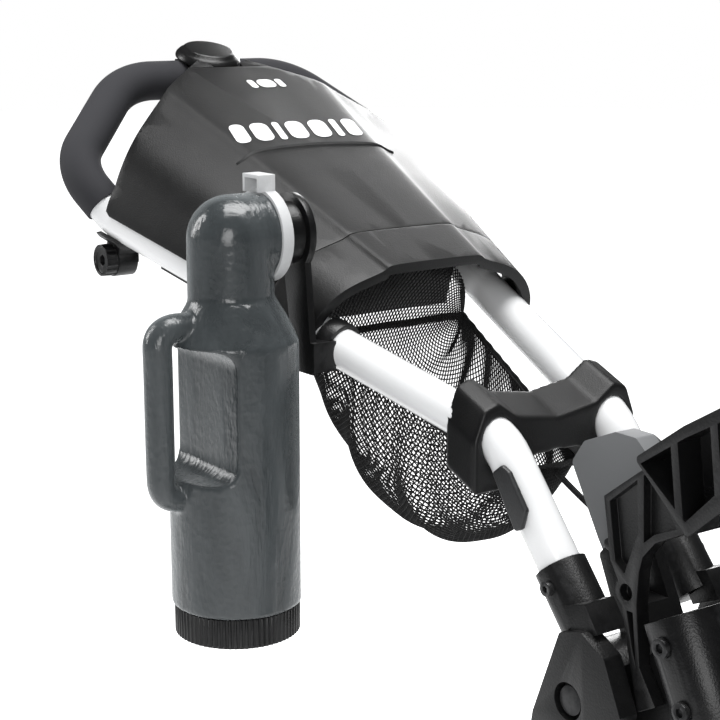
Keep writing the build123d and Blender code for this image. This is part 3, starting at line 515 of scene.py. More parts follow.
@dataclass(frozen=True)
class Finish:
    """A moulded, painted or bare finish with grain, worn edges and dust.

    Attributes:
        name: the material's name.
        colour: main colour.
        second: colour that it drifts to over the surface.
        worn: colour of worn edges.
        roughness: roughness in the middle of its range.
        rough_spread: how much the roughness varies.
        grain_scale: how fine the grain is.
        grain_depth: height of the grain.
        wear: how much the edges are worn.
        dust: how much dust lies on upward faces.
        metallic: metalness.
        coat: weight of a clear coat.
        sheen: weight of a soft sheen.
        transmission: weight of light passing through.
        specular: level of the plain reflection.
        dulling: how much rougher dust makes it.
    """

    name: str
    colour: Colour
    second: Colour
    worn: Colour
    roughness: float
    rough_spread: float = 0.08
    grain_scale: float = 900.0
    grain_depth: float = 0.00008
    wear: float = 0.5
    dust: float = 0.15
    metallic: float = 0.0
    coat: float = 0.0
    sheen: float = 0.0
    transmission: float = 0.0
    specular: float = 0.5
    dulling: float = 0.4

    def material(self) -> bpy.types.Material:
        """Builds the finish's material once.

        Returns:
            The material, made now or earlier.
        """
        if self.name in bpy.data.materials:
            return bpy.data.materials[self.name]
        material = bpy.data.materials.new(self.name)
        material.use_nodes = True
        maker = NodeMaker(material.node_tree)
        shader = material.node_tree.nodes["Principled BSDF"]
        for key, value in (("Metallic", self.metallic), ("Coat Weight", self.coat), ("Coat Roughness", 0.12),
                           ("Sheen Weight", self.sheen), ("Sheen Roughness", 0.5),
                           ("Transmission Weight", self.transmission), ("Specular IOR Level", self.specular)):
            shader.inputs[key].default_value = value
        grain = place_effect(maker, Effect.GRAIN, Scale=self.grain_scale)
        dust = place_effect(maker, Effect.DUST, Amount=self.dust).outputs["Mask"]
        base, drift, height = self.skin(maker, grain)
        maker.link(maker.blend(dust, base, DUST_COLOUR), shader.inputs["Base Color"])
        low, high = self.roughness - self.rough_spread, self.roughness + self.rough_spread
        rough = maker.spread(drift, 0.0, 1.0, low, high)
        dulled = maker.math("MULTIPLY_ADD", dust, self.dulling)
        maker.link(rough, dulled.node.inputs[2])
        maker.link(dulled, shader.inputs["Roughness"])
        bump = maker.add("Bump", Strength=1.0, Distance=self.grain_depth)
        maker.link(height, bump.inputs["Height"])
        maker.link(bump.outputs["Normal"], shader.inputs["Normal"])
        return material

    def skin(self, maker: NodeMaker, grain: Node) -> Skin:
        """Adds the colour and the relief below the dust.

        Args:
            maker: adds the nodes.
            grain: the placed grain effect.

        Returns:
            The colour, the value that the roughness follows, and the height.
        """
        wear = place_effect(maker, Effect.WEAR, Amount=self.wear)
        base = maker.blend(grain.outputs["Variation"], self.colour, self.second)
        base = maker.blend(wear.outputs["Mask"], base, self.worn)
        return base, grain.outputs["Variation"], grain.outputs["Height"]


BLACK_PLASTIC = Finish("black_plastic_satin", (0.0035, 0.0035, 0.0038), (0.007, 0.007, 0.0073),
                       (0.03, 0.03, 0.031), 0.4, 0.06, grain_scale=1100.0, grain_depth=0.00006, wear=0.4,
                       dust=0.02, specular=0.34)
FRAME_PLASTIC = Finish("frame_plastic", (0.003, 0.003, 0.0033), (0.006, 0.006, 0.0062), (0.03, 0.03, 0.031),
                       0.33, 0.07, grain_scale=800.0, grain_depth=0.00007, wear=0.5, dust=0.02, specular=0.38)
CAP_PLASTIC = Finish("cap_plastic", (0.003, 0.003, 0.0033), (0.006, 0.006, 0.0062), (0.03, 0.03, 0.03),
                     0.31, 0.05, wear=0.4, dust=0.02, specular=0.4)
GREY_PLASTIC = Finish("grey_plastic", (0.085, 0.088, 0.094), (0.115, 0.118, 0.123), (0.24, 0.24, 0.25),
                      0.4, 0.06, grain_scale=700.0, wear=0.4, dust=0.05)
DARK_GREY_PLASTIC = Finish("dark_grey_plastic", (0.015, 0.0155, 0.0165), (0.023, 0.0235, 0.0245),
                           (0.07, 0.07, 0.07), 0.4, 0.06, grain_scale=700.0, wear=0.4, dust=0.03)
WHITE_PAINT = Finish("white_tube_paint", (0.8, 0.805, 0.81), (0.86, 0.86, 0.86), (0.9, 0.9, 0.9),
                     0.24, 0.04, grain_scale=420.0, grain_depth=0.00002, wear=0.2, dust=0.04, coat=0.5)
PALE_RUBBER = Finish("pale_rubber", (0.5, 0.505, 0.51), (0.58, 0.585, 0.59), (0.66, 0.66, 0.66), 0.5, 0.06,
                     grain_scale=600.0, wear=0.2, dust=0.04)
GRIP_FOAM = Finish("grip_foam", (0.0045, 0.0045, 0.0048), (0.009, 0.009, 0.0094), (0.03, 0.03, 0.03),
                   0.55, 0.07, grain_scale=1500.0, grain_depth=0.00016, wear=0.25, dust=0.03, sheen=0.04,
                   specular=0.4)
TYRE_RUBBER = Finish("tyre_rubber", (0.016, 0.016, 0.016), (0.028, 0.027, 0.026), (0.07, 0.07, 0.068),
                     0.72, 0.08, grain_scale=500.0, grain_depth=0.0002, wear=0.4, dust=0.35)
RIM_PLASTIC = Finish("rim_plastic", (0.78, 0.78, 0.77), (0.85, 0.85, 0.85), (0.9, 0.9, 0.9),
                     0.34, 0.06, grain_scale=700.0, wear=0.3, dust=0.2)
STEEL = Finish("zinc_steel", (0.5, 0.5, 0.51), (0.58, 0.58, 0.58), (0.75, 0.75, 0.75),
               0.3, 0.1, grain_scale=1600.0, grain_depth=0.00003, wear=0.5, dust=0.05, metallic=1.0)
BLACK_BOLT = Finish("black_bolt", (0.012, 0.012, 0.013), (0.024, 0.024, 0.025), (0.16, 0.16, 0.16),
                    0.32, 0.06, grain_scale=1600.0, grain_depth=0.00003, wear=0.7, dust=0.02, metallic=0.6)
PRINT_INK = Finish("print_ink", (0.82, 0.82, 0.82), (0.88, 0.88, 0.88), (0.7, 0.7, 0.7),
                   0.45, 0.06, grain_scale=1500.0, grain_depth=0.00003, wear=0.1, dust=0.05)
NET_YARN = Finish("net_yarn", (0.003, 0.003, 0.0033), (0.007, 0.007, 0.0073), (0.015, 0.015, 0.015),
                  0.7, 0.06, grain_scale=2600.0, grain_depth=0.0002, wear=0.1, dust=0.02, sheen=0.04,
                  specular=0.3)
WEBBING = Finish("black_webbing", (0.003, 0.003, 0.0033), (0.008, 0.008, 0.0083), (0.015, 0.015, 0.015),
                 0.75, 0.06, grain_scale=1900.0, grain_depth=0.0003, wear=0.1, dust=0.03, sheen=0.05,
                 specular=0.3)


@dataclass(frozen=True)
class SmokedPlastic(Finish):
    """Blow-moulded translucent plastic, cloudy, with lighter vertical streaks painted as highlights and a
    painted highlight where its wall is seen edge on.

    Attributes:
        painted_rim_highlight: painted highlight colour where the wall is seen edge on.
    """

    # Painted highlight: the colour that the wall pales to where it is seen edge on.
    painted_rim_highlight: Colour = (0.42, 0.45, 0.46)
    dulling: float = 0.0

    def skin(self, maker: NodeMaker, grain: Node) -> Skin:
        """Adds cloudy colour with lighter vertical streaks as painted highlights, a painted highlight towards
        the rim, and long low waves.

        Args:
            maker: adds the nodes.
            grain: the placed grain effect.

        Returns:
            The colour, the value that the roughness follows, and the height.
        """
        # The stretched noise draws vertical streaks. Their lighter colour is a painted highlight; the
        # roughness and waves they drive are real relief.
        stretch = maker.texture("Mapping", maker.add("TexCoord").outputs["Object"], vector_type="POINT")
        stretch.inputs["Scale"].default_value = (1.0, 1.0, 0.25)
        flow = maker.texture("TexNoise", stretch.outputs["Vector"], Scale=24.0, Detail=5.0, Roughness=0.6,
                             Distortion=0.6)
        cloud = maker.spread(flow.outputs["Fac"], 0.3, 0.7)
        # Painted highlight: the colour pales to the rim colour where the wall is seen edge on.
        edge = maker.spread(maker.add("LayerWeight", Blend=0.35).outputs["Facing"], 0.35, 1.0)
        base = maker.blend(edge, maker.blend(cloud, self.colour, self.second), self.painted_rim_highlight)
        waves = maker.math("MULTIPLY_ADD", cloud, 6.0)
        maker.link(grain.outputs["Height"], waves.node.inputs[2])
        return base, cloud, waves


# The second colour is the lighter vertical streaks, which are painted highlights. The paler colour where the
# wall is seen edge on is a painted highlight too.
SMOKED_BOTTLE = SmokedPlastic("smoked_bottle", (0.045, 0.052, 0.055), (0.10, 0.112, 0.117),
                              (0.24, 0.24, 0.24), 0.24, 0.05, grain_scale=240.0, grain_depth=0.0002,
                              dust=0.02, transmission=0.3, coat=0.2)


def settle(piece: Piece, body: str, finish: Finish, stands_for: Sequence[str] = ()) -> Piece:
    """Dresses a finished piece and puts it on its CAD body.

    Args:
        piece: the finished piece, with its place in its mesh.
        body: the CAD body that it rides on.
        finish: its finish.
        stands_for: the CAD nodes that it replaces.

    Returns:
        The same object.
    """
    piece.data.materials.clear()
    piece.data.materials.append(finish.material())
    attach(piece, body)
    if stands_for:
        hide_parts(*stands_for)
    LOG.info("%s rides on %s", piece.name, body)
    return piece


# ---- plain mouldings, tubes and wheels taken over from CAD ----
@dataclass(frozen=True)
class Moulding:
    """A CAD node whose shape stays and whose edges are rounded.

    Attributes:
        node: the CAD node.
        finish: its finish.
        rounding: how far its rounded edges reach.
        segments: faces across the rounding.
    """

    node: str
    finish: Finish
    rounding: float = 0.0008
    segments: int = 2

    def shape(self, piece: Piece) -> None:
        """Rounds the copy's edges."""
        round_edges(piece, self.rounding, self.segments)
        smooth(piece)

    def build(self) -> Piece:
        """Builds the shaped copy in place of the CAD node.

        Returns:
            The dressed piece.
        """
        source = frame["nodes"][self.node]
        piece = cad_copy(self.node, self.node + "_finished")
        self.shape(piece)
        return settle(piece, source["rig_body"], self.finish, [self.node])


@dataclass(frozen=True)
class SoftMoulding(Moulding):
    """A moulding with large soft edges, such as the saddle over the handle's bend.

    Attributes:
        voxel: size of the cells that the form is rebuilt from.
        passes: how often the form is smoothed.
    """

    voxel: float = 0.0011
    passes: int = 26

    def shape(self, piece: Piece) -> None:
        """Rebuilds the copy's form and softens it all over."""
        modify(piece, "REMESH", mode="VOXEL", voxel_size=self.voxel, adaptivity=0.0)
        modify(piece, "SMOOTH", factor=0.5, iterations=self.passes)
        smooth(piece, 60.0)


def mouldings() -> list[Moulding]:
    """Lists the CAD nodes that only need rounded edges and a finish.

    Returns:
        One entry for each node.
    """
    # finish, rounding, faces across it, and nodes, where * stands for left and right
    rows = (
        (BLACK_PLASTIC, 0.0022, 4, "console_visor"),
        (BLACK_PLASTIC, 0.0015, 3, "umbrella_socket"),
        (BLACK_PLASTIC, 0.0009, 3, "console_lid console_rear_panel"),
        (BLACK_PLASTIC, 0.0006, 2, "console_tray"),
        (CAP_PLASTIC, 0.0022, 4, "umbrella_cap"),
        (DARK_GREY_PLASTIC, 0.0016, 3, "clamp_tabs"),
        (GREY_PLASTIC, 0.0036, 4, "latch_lever"),
        (GREY_PLASTIC, 0.0008, 2, "brake_pedal"),
        (PALE_RUBBER, 0.0016, 3, "bottle_ring"),
        (GRIP_FOAM, 0.0006, 2, "grip_*"),
        (FRAME_PLASTIC, 0.0018, 3, "front_fork"),
        (FRAME_PLASTIC, 0.0016, 3, "handle_yoke_*"),
        (FRAME_PLASTIC, 0.0014, 3, "accessory_brackets upper_hub centre_hub"),
        (FRAME_PLASTIC, 0.0012, 3, "cradle_arm_*"),
        (FRAME_PLASTIC, 0.0012, 2, "front_knuckle bag_shelf leg_knuckle_* wheel_bracket_*"),
        (FRAME_PLASTIC, 0.001, 2, "bottle_bracket"),
        (FRAME_PLASTIC, 0.0009, 3, "cradle_plate_*"),
        (FRAME_PLASTIC, 0.0008, 2, "brake_mount"),
        (WHITE_PAINT, 0.0004, 2, "front_tube"),
        (WHITE_PAINT, 0.0003, 2, "handle_tube_* main_tube_* rear_leg_*"),
        (BLACK_BOLT, 0.0006, 2, "hinge_pin"),
        (BLACK_BOLT, 0.0005, 2, "frame_fasteners handle_screws"),
        (STEEL, 0.0006, 2, "hub_pins front_axle rear_axle_*"),
        (STEEL, 0.0004, 2, "cradle_bridge front_wheel_bearings wheel_*_bearings"),
        (TYRE_RUBBER, 0.0012, 2, "front_wheel_tyre wheel_*_tyre"),
        (RIM_PLASTIC, 0.0012, 2, "front_wheel_rim wheel_*_rim"),
    )
    chosen = []
    for finish, rounding, segments, nodes in rows:
        for node in nodes.split():
            names = [node.replace("*", side) for side in ("left", "right")] if "*" in node else [node]
            chosen += [Moulding(name, finish, rounding, segments) for name in names]
    return chosen


# ---- bottle ----
@dataclass
class Bottle:
    """Smoky bottle with a side handle, an elbow mouth and a ribbed base cap.

    Attributes:
        centre: middle of the body, seen from above.
        radius: radius of the body.
        foot: height of the body's lower end.
        shoulder: height where the body starts to narrow.
        neck_radius: radius of the neck and the elbow.
        mouth_height: height of the mouth's axis.
        mouth_side: Y of the mouth's rim.
        wall: thickness of the wall.
        cap_radius: radius of the base cap.
        cap_height: height of the base cap.
        ribs: ribs round the base cap.
        spigot_radius: radius of the threaded end inside the base cap.
        spigot_end: height of that end.
        neck_shift: how far the neck stands behind the body's axis.
        handle_radius: radius of the handle's section.
        handle_out: Y of the handle's grip, from the axis.
        handle_root: Y of the handle's roots, from the axis.
    """

    centre: Vector
    radius: float = 0.045
    foot: float = 0.676
    shoulder: float = 0.860
    neck_radius: float = 0.029
    mouth_height: float = 0.926
    mouth_side: float = -0.123
    wall: float = 0.0018
    cap_radius: float = 0.0432
    cap_height: float = 0.0206
    ribs: int = 72
    spigot_radius: float = 0.0392
    spigot_end: float = 0.6625
    neck_shift: float = -0.002
    handle_radius: float = 0.0094
    handle_out: float = -0.0575
    handle_root: float = -0.022

    def at(self, x: float, y: float, z: float) -> Vector:
        """Point at an offset from the body's axis, at a height above the ground."""
        return Vector((self.centre.x + x, self.centre.y + y, z))

    def form(self) -> Piece:
        """Joins bars, a ball and the side handle into one closed form.

        Returns:
            The form, still solid and with its mouth closed.
        """
        neck_x = self.neck_shift
        spigot = bar("spigot", self.at(0, 0, self.spigot_end), self.at(0, 0, self.foot + 0.004),
                     self.spigot_radius)
        body = bar("body", self.at(0, 0, self.foot), self.at(0, 0, self.shoulder), self.radius, vertices=128)
        cone = bar("cone", self.at(0, 0, self.shoulder - 0.001), self.at(0, 0, self.shoulder + 0.026),
                   self.radius, self.neck_radius, vertices=128)
        neck = bar("neck", self.at(neck_x, 0, self.shoulder + 0.012), self.at(neck_x, 0, self.mouth_height),
                   self.neck_radius, vertices=128)
        bpy.ops.mesh.primitive_uv_sphere_add(segments=96, ring_count=48, radius=self.neck_radius,
                                             location=self.at(neck_x, 0, self.mouth_height))
        elbow = bake_place(new_piece("elbow"))
        mouth_end = Vector((self.centre.x + neck_x, self.mouth_side + 0.004, self.mouth_height))
        mouth = bar("mouth", self.at(neck_x, 0, self.mouth_height), mouth_end, self.neck_radius, vertices=128)
        dish = self.dish()
        bulk = join("bottle_smoked", [body, cone, neck, elbow, mouth, spigot])
        modify(bulk, "REMESH", mode="VOXEL", voxel_size=0.0014, adaptivity=0.0)
        modify(bulk, "BOOLEAN", operation="DIFFERENCE", object=dish, solver="EXACT")
        bpy.data.objects.remove(dish)
        form = join("bottle_smoked", [bulk, self.handle()])
        modify(form, "REMESH", mode="VOXEL", voxel_size=0.0013, adaptivity=0.0)
        modify(form, "SMOOTH", factor=0.5, iterations=9)
        return form

    def dish(self) -> Piece:
        """Makes the block that is cut out behind the handle.

        Returns:
            The block, with its edges well rounded.
        """
        bpy.ops.mesh.primitive_cube_add(size=1.0, location=self.at(0, -0.061, 0.813))
        block = new_piece("dish")
        block.scale = (0.12, 0.08, 0.09)
        bake_place(block)
        return round_edges(block, 0.012, 5)

    def handle(self) -> Piece:
        """Makes the handle from a round loop, widened across.

        Returns:
            The handle as a mesh.
        """
        out, root = self.handle_out, self.handle_root
        route = [(root + 0.004, 0.869), (root - 0.014, 0.8712), (out + 0.008, 0.8715), (out - 0.0005, 0.865),
                 (out, 0.850), (out, 0.814), (out, 0.776), (out + 0.0005, 0.762), (out + 0.008, 0.7555),
                 (root - 0.012, 0.7565), (root + 0.004, 0.758)]
        loop = sweep("handle", [self.at(0, y, z) for y, z in route], self.handle_radius, resolution=8)
        edit(loop, lambda: bpy.ops.transform.resize(value=(1.18, 1.0, 1.0), center_override=self.at(0, 0, 0)))
        return loop

    def build(self) -> list[Piece]:
        """Builds and dresses the bottle and its base cap.

        Returns:
            The two pieces.
        """
        form = self.form()
        open_at = Vector((0.0, self.mouth_side, 0.0))
        edit(form, lambda: bpy.ops.mesh.bisect(plane_co=open_at, plane_no=(0.0, 1.0, 0.0), clear_outer=True))
        modify(form, "SOLIDIFY", thickness=self.wall, offset=-1.0, use_even_offset=False)
        smooth(form, 60.0)
        settle(form, "bottle", SMOKED_BOTTLE, ["bottle"])
        return [form, self.base_cap()]

    def base_cap(self) -> Piece:
        """Builds the ribbed cap, hollow over the bottle's spigot.

        Returns:
            The dressed cap.
        """
        top = self.foot - 0.0004
        cap = bar("base_cap_ribbed", self.at(0, 0, top - self.cap_height), self.at(0, 0, top),
                  self.cap_radius - 0.0008, vertices=self.ribs * 2)
        edit_faces(cap, lambda face: face.normal.z > 0.9,
                   lambda: bpy.ops.mesh.inset(thickness=self.cap_radius - 0.0406),
                   lambda: bpy.ops.mesh.extrude_region_move(
                       TRANSFORM_OT_translate={"value": (0.0, 0.0, -0.0146)}))
        edit_faces(cap, lambda face: face.normal.z < -0.9,
                   lambda: bpy.ops.mesh.inset(thickness=0.004),
                   lambda: bpy.ops.mesh.inset(thickness=0.0006, depth=-0.0016),
                   lambda: bpy.ops.mesh.inset(thickness=0.02, depth=0.0))
        step = math.pi / self.ribs

        def is_rib(face: Face) -> bool:
            """Whether a face is every second one round the cap."""
            offset = face.center - self.centre
            outside = math.hypot(offset.x, offset.y) > self.cap_radius - 0.0022 and abs(face.normal.z) < 0.1
            return outside and int(round(math.atan2(offset.y, offset.x) / step - 0.5)) % 2 == 0

        edit_faces(cap, is_rib,
                   lambda: bpy.ops.mesh.inset(thickness=0.00025, depth=0.0008, use_individual=True))
        round_edges(cap, 0.00035, 1, 35.0)
        smooth(cap, 30.0)
        return settle(cap, "bottle_base_cap", CAP_PLASTIC, ["bottle_base_cap"])


# ---- basket ----
@dataclass
class NetBasket:
    """Knotted net hung between the handle tubes, with a webbing hem and a cord.

    Attributes:
        columns: half diamonds across the net, from rim to rim.
        rows: half diamonds along the net.
        strand: thickness of a strand.
        rim_line: the rim seen from the side, as X and Z from the handle's bend.
        keel_line: the net's lowest line seen from the side.
        ripple: depth of the folds.
        tie_radius: radius of the cord that ties its front.
    """

    columns: int = 104
    rows: int = 136
    strand: float = 0.00145
    rim_line: tuple = ((-0.012, -0.030), (-0.024, -0.024), (-0.042, -0.018), (-0.080, -0.002),
                       (-0.120, 0.012), (-0.160, 0.026), (-0.188, 0.036), (-0.190, 0.037))
    keel_line: tuple = ((-0.012, -0.031), (-0.013, -0.046), (-0.046, -0.086), (-0.090, -0.103),
                        (-0.150, -0.101), (-0.190, -0.062), (-0.194, -0.010), (-0.184, 0.045),
                        (-0.172, 0.084), (-0.170, 0.093))
    ripple: float = 0.0026
    tie_radius: float = 0.0021

    @staticmethod
    def along(line: tuple, count: int) -> np.ndarray:
        """Points spread evenly along a smooth line.

        Args:
            line: X and Z of the line's corners.
            count: how many points.

        Returns:
            One row of X and Z for each point.
        """
        corners = np.array(line)
        for _ in range(3):
            near, far = corners[:-1], corners[1:]
            cut = np.empty((2 * len(near), 2))
            cut[0::2], cut[1::2] = 0.75 * near + 0.25 * far, 0.25 * near + 0.75 * far
            corners = np.vstack([corners[:1], cut, corners[-1:]])
        run = np.concatenate([[0.0], np.cumsum(np.linalg.norm(np.diff(corners, axis=0), axis=1))])
        at = np.linspace(0.0, run[-1], count)
        return np.stack([np.interp(at, run, corners[:, k]) for k in range(2)], axis=1)

    def rim_half(self, rim: np.ndarray) -> np.ndarray:
        """Half the net's width at points of its rim."""
        back = rim @ np.array([REARWARD.x, REARWARD.z])
        return BEND_HALF + TAPER * back - 0.0195

    def surface(self) -> np.ndarray:
        """Places the net's points, row by row from the front.

        Returns:
            An array of rows, columns and X, Y, Z.
        """
        keel = self.along(self.keel_line, self.rows + 1)
        length = np.concatenate([[0.0], np.cumsum(np.linalg.norm(np.diff(keel, axis=0), axis=1))])
        samples = 400
        rim_all, spread = self.along(self.rim_line, samples), np.linspace(0, 1, samples)
        share = length / length[-1]
        rim_share = np.clip(share / 0.72, 0.0, 1.0) ** 0.95
        rim = np.stack([np.interp(rim_share, spread, rim_all[:, k]) for k in range(2)], axis=1)
        half = self.rim_half(rim)
        grid = np.zeros((self.rows + 1, self.columns + 1, 3))
        turn = np.linspace(0.0, math.pi, 600)
        power = 2.0 / 2.25
        out, down = np.sign(np.cos(turn)) * np.abs(np.cos(turn)) ** power, np.sin(turn) ** power
        for row in range(self.rows + 1):
            drop = keel[row] - rim[row]
            y = half[row] * out
            path = np.stack([rim[row][0] + drop[0] * down, y, rim[row][1] + drop[1] * down], axis=1)
            run = np.concatenate([[0.0], np.cumsum(np.linalg.norm(np.diff(path, axis=0), axis=1))])
            at = np.linspace(0.0, run[-1], self.columns + 1)
            for k in range(3):
                grid[row, :, k] = np.interp(at, run, path[:, k])
        self.add_folds(grid, share)
        grid[..., 0] += BEND.x
        grid[..., 2] += BEND.z
        return grid

    def add_folds(self, grid: np.ndarray, share: np.ndarray) -> None:
        """Pushes the net in and out in soft folds that run from the rim to the keel.

        Args:
            grid: the net's points, changed in place.
            share: how far each row is from the front, from 0 to 1.
        """
        across = np.linspace(0.0, 1.0, self.columns + 1)
        cross = np.cross(np.gradient(grid, axis=0), np.gradient(grid, axis=1))
        normal = cross / np.maximum(np.linalg.norm(cross, axis=2, keepdims=True), 1e-9)
        rows, columns = np.meshgrid(share, across, indexing="ij")
        lean = rows + 0.05 * np.sin(5.0 * columns + 0.7)
        folds = np.sin(2 * math.pi * 6.5 * lean + 1.1 * np.sin(7.0 * columns))
        folds += 0.5 * np.sin(2 * math.pi * 11.0 * lean + 2.0 + 2.2 * columns)
        belly = np.sin(math.pi * columns) ** 0.8 * np.sin(math.pi * np.clip(rows, 0, 1)) ** 0.7
        side = 0.35 + 0.65 * np.abs(np.cos(math.pi * columns))
        grid += normal * (self.ripple * folds * belly * side)[..., None]

    def net(self) -> Piece:
        """Ties the net's points into diamonds and turns its lines into strands.

        Returns:
            The net.
        """
        grid = self.surface()
        wide = self.columns + 1
        faces = []
        for row in range(self.rows):
            for column in range(1 + row % 2, self.columns, 2):
                here = row * wide + column
                if row == 0:
                    faces.append((here, here + wide + 1, here + wide - 1))
                    continue
                faces.append((here - wide, here + 1, here + wide, here - 1))
        faces += [(row * wide, (row + 1) * wide + 1, (row + 2) * wide) for row in range(0, self.rows - 1, 2)]
        edge = self.columns
        faces += [(row * wide + edge, (row + 2) * wide + edge, (row + 1) * wide + edge - 1)
                  for row in range(0, self.rows - 1, 2)]
        faces = [face for face in faces if max(face) < len(grid) * wide]
        net = mesh_piece("basket_net", grid.reshape(-1, 3), faces)
        edit(net, lambda: bpy.ops.mesh.delete_loose(use_verts=True, use_edges=True, use_faces=False),
             lambda: bpy.ops.mesh.normals_make_consistent(inside=False))
        modify(net, "WIREFRAME", thickness=self.strand, use_even_offset=False, use_replace=True,
               use_boundary=True, use_relative_offset=False)
        select_only(net)
        bpy.ops.object.shade_smooth()
        return net

    def hem(self) -> Piece:
        """Builds the webbing round the net's rim.

        Returns:
            The hem.
        """
        rim = self.along(self.rim_line, 90)
        half = self.rim_half(rim) + 0.0009
        left = [Vector((BEND.x + x, h, BEND.z + z)) for (x, z), h in zip(rim, half)]
        right = [Vector((p.x, -p.y, p.z)) for p in left]
        front = [left[0].lerp(right[0], k / 14) for k in range(1, 14)]
        rear = [right[-1].lerp(left[-1], k / 24) for k in range(1, 24)]
        loop = left[::-1] + front + right + rear
        count = len(loop)
        middle = sum(loop, Vector()) / count
        rows, faces = [], []
        for number, point in enumerate(loop):
            run = (loop[(number + 1) % count] - loop[number - 1]).normalized()
            out = run.cross(UPWARD).normalized()
            if out.dot(point - middle) < 0:
                out = -out
            wave = 0.0004 * math.sin(number * 0.9)
            for rise, push in ((0.0032, 0.0), (0.0036, 0.0007), (-0.0036, 0.0009), (-0.0032, 0.0)):
                rows.append(point + UPWARD * rise + out * (push + wave))
        for number in range(count):
            here, there = 4 * number, 4 * ((number + 1) % count)
            faces += [(here + k, here + (k + 1) % 4, there + (k + 1) % 4, there + k) for k in range(4)]
        hem = mesh_piece("basket_hem", np.array(rows), faces)
        edit(hem, lambda: bpy.ops.mesh.normals_make_consistent(inside=False))
        modify(hem, "SUBSURF", levels=1, render_levels=1)
        return smooth(hem, 60.0)

    def cord(self) -> Piece:
        """Builds the held cord that ties the net's front to the left socket.

        Returns:
            The cord as a mesh.
        """
        route = [(-0.1275, 0.009, 0.772), (-0.118, 0.011, 0.7655), (-0.105, 0.0155, 0.7555),
                 (-0.0918, 0.019, 0.7475), (-0.075, 0.0235, 0.7405), (-0.0635, 0.0268, 0.736),
                 (-0.056, 0.0289, 0.734)]
        return sweep("basket_tie", [Vector(point) for point in route], self.tie_radius)

    def build(self) -> list[Piece]:
        """Builds and dresses the net, its hem and its cord.

        Returns:
            The three pieces.
        """
        net, hem, tie = self.net(), self.hem(), self.cord()
        settle(net, "handle", NET_YARN, ["mesh_basket"])
        settle(hem, "handle", WEBBING)
        settle(tie, "handle", WEBBING, ["basket_cord"])
        return [net, hem, tie]


# ---- marks on the lid ----
ABOVE_LID = 0.11                            # height over the tubes from which marks drop onto the lid


def lay_on(piece: Piece, lid: Piece, gap: float) -> Piece:
    """Drops a flat piece straight down onto the lid.

    Args:
        piece: the flat piece, above the lid.
        lid: the finished lid.
        gap: how far above the lid it stays.

    Returns:
        The same piece.
    """
    return modify(piece, "SHRINKWRAP", wrap_method="PROJECT", use_project_x=False, use_project_y=False,
                  use_project_z=True, use_negative_direction=True, use_positive_direction=False, target=lid,
                  offset=gap)


@dataclass
class LidMark:
    """Row of plain raised bars on the console's lid.

    Attributes:
        name: the mark's name.
        along: place behind the handle's bend.
        widths: width of each bar, in order from the left.
        height: length of the bars up the lid.
        gap: space between bars.
        lean: how far the top of a bar leans to the side.
        middle: Y of the row's middle.
    """

    name: str
    along: float
    widths: tuple[float, ...]
    height: float
    gap: float
    lean: float = 0.0
    middle: float = 0.0

    def build(self, lid: Piece) -> Piece:
        """Builds the bars on the lid's surface.

        Args:
            lid: the finished lid, whose surface they lie on.

        Returns:
            The dressed mark.
        """
        total = sum(self.widths) + self.gap * (len(self.widths) - 1)
        side = self.middle + total / 2
        bars = []
        for number, width in enumerate(self.widths):
            centre = on_handle(self.along, side - width / 2, ABOVE_LID)
            bpy.ops.mesh.primitive_plane_add(size=1.0, location=centre, rotation=(0.0, UPPER_PITCH, 0.0))
            piece = new_piece(f"{self.name}_{number}")
            piece.scale = (self.height, width, 1.0)
            bake_place(piece)
            edit(piece, lambda: bpy.ops.mesh.bevel(offset=min(width, self.height) * 0.42, segments=5,
                                                   affect="VERTICES"))
            for vertex in piece.data.vertices:
                vertex.co.y += self.lean * (vertex.co - centre).dot(REARWARD) / self.height
            edit(piece, lambda: bpy.ops.mesh.inset(thickness=0.0004),
                 lambda: bpy.ops.mesh.subdivide(number_cuts=2))
            bars.append(piece)
            side -= width + self.gap
        mark = join(self.name, bars)
        lay_on(mark, lid, 0.00012)
        modify(mark, "SOLIDIFY", thickness=0.00016, offset=1.0)
        smooth(mark, 50.0)
        return settle(mark, "console_lid", PRINT_INK)


def lid_ridge(lid: Piece, along: float = 0.331, half: float = 0.072) -> Piece:
    """Lays the raised line below the mark.

    Args:
        lid: the finished lid, whose surface it lies on.
        along: its place behind the handle's bend, at its middle.
        half: how far it reaches to each side.

    Returns:
        The dressed line.
    """
    steps, rows, faces = 72, [], []
    for number in range(steps + 1):
        share = 2.0 * number / steps - 1.0
        back = along - 0.007 * share * share
        reach = 0.0013 * (1.0 - 0.7 * abs(share) ** 6)
        rows += [on_handle(back + shift, half * share, ABOVE_LID) for shift in (-reach, 0.0, reach)]
    for number in range(steps):
        here = 3 * number
        faces += [(here + k, here + k + 1, here + k + 4, here + k + 3) for k in range(2)]
    line = mesh_piece("lid_ridge", np.array(rows), faces)
    lay_on(line, lid, 0.0001)
    for number, vertex in enumerate(line.data.vertices):
        is_crest = number % 3 == 1
        vertex.co.z += 0.0007 if is_crest else -0.0003
    modify(line, "SOLIDIFY", thickness=0.0005, offset=-1.0)
    smooth(line, 60.0)
    return settle(line, "console_lid", BLACK_PLASTIC)


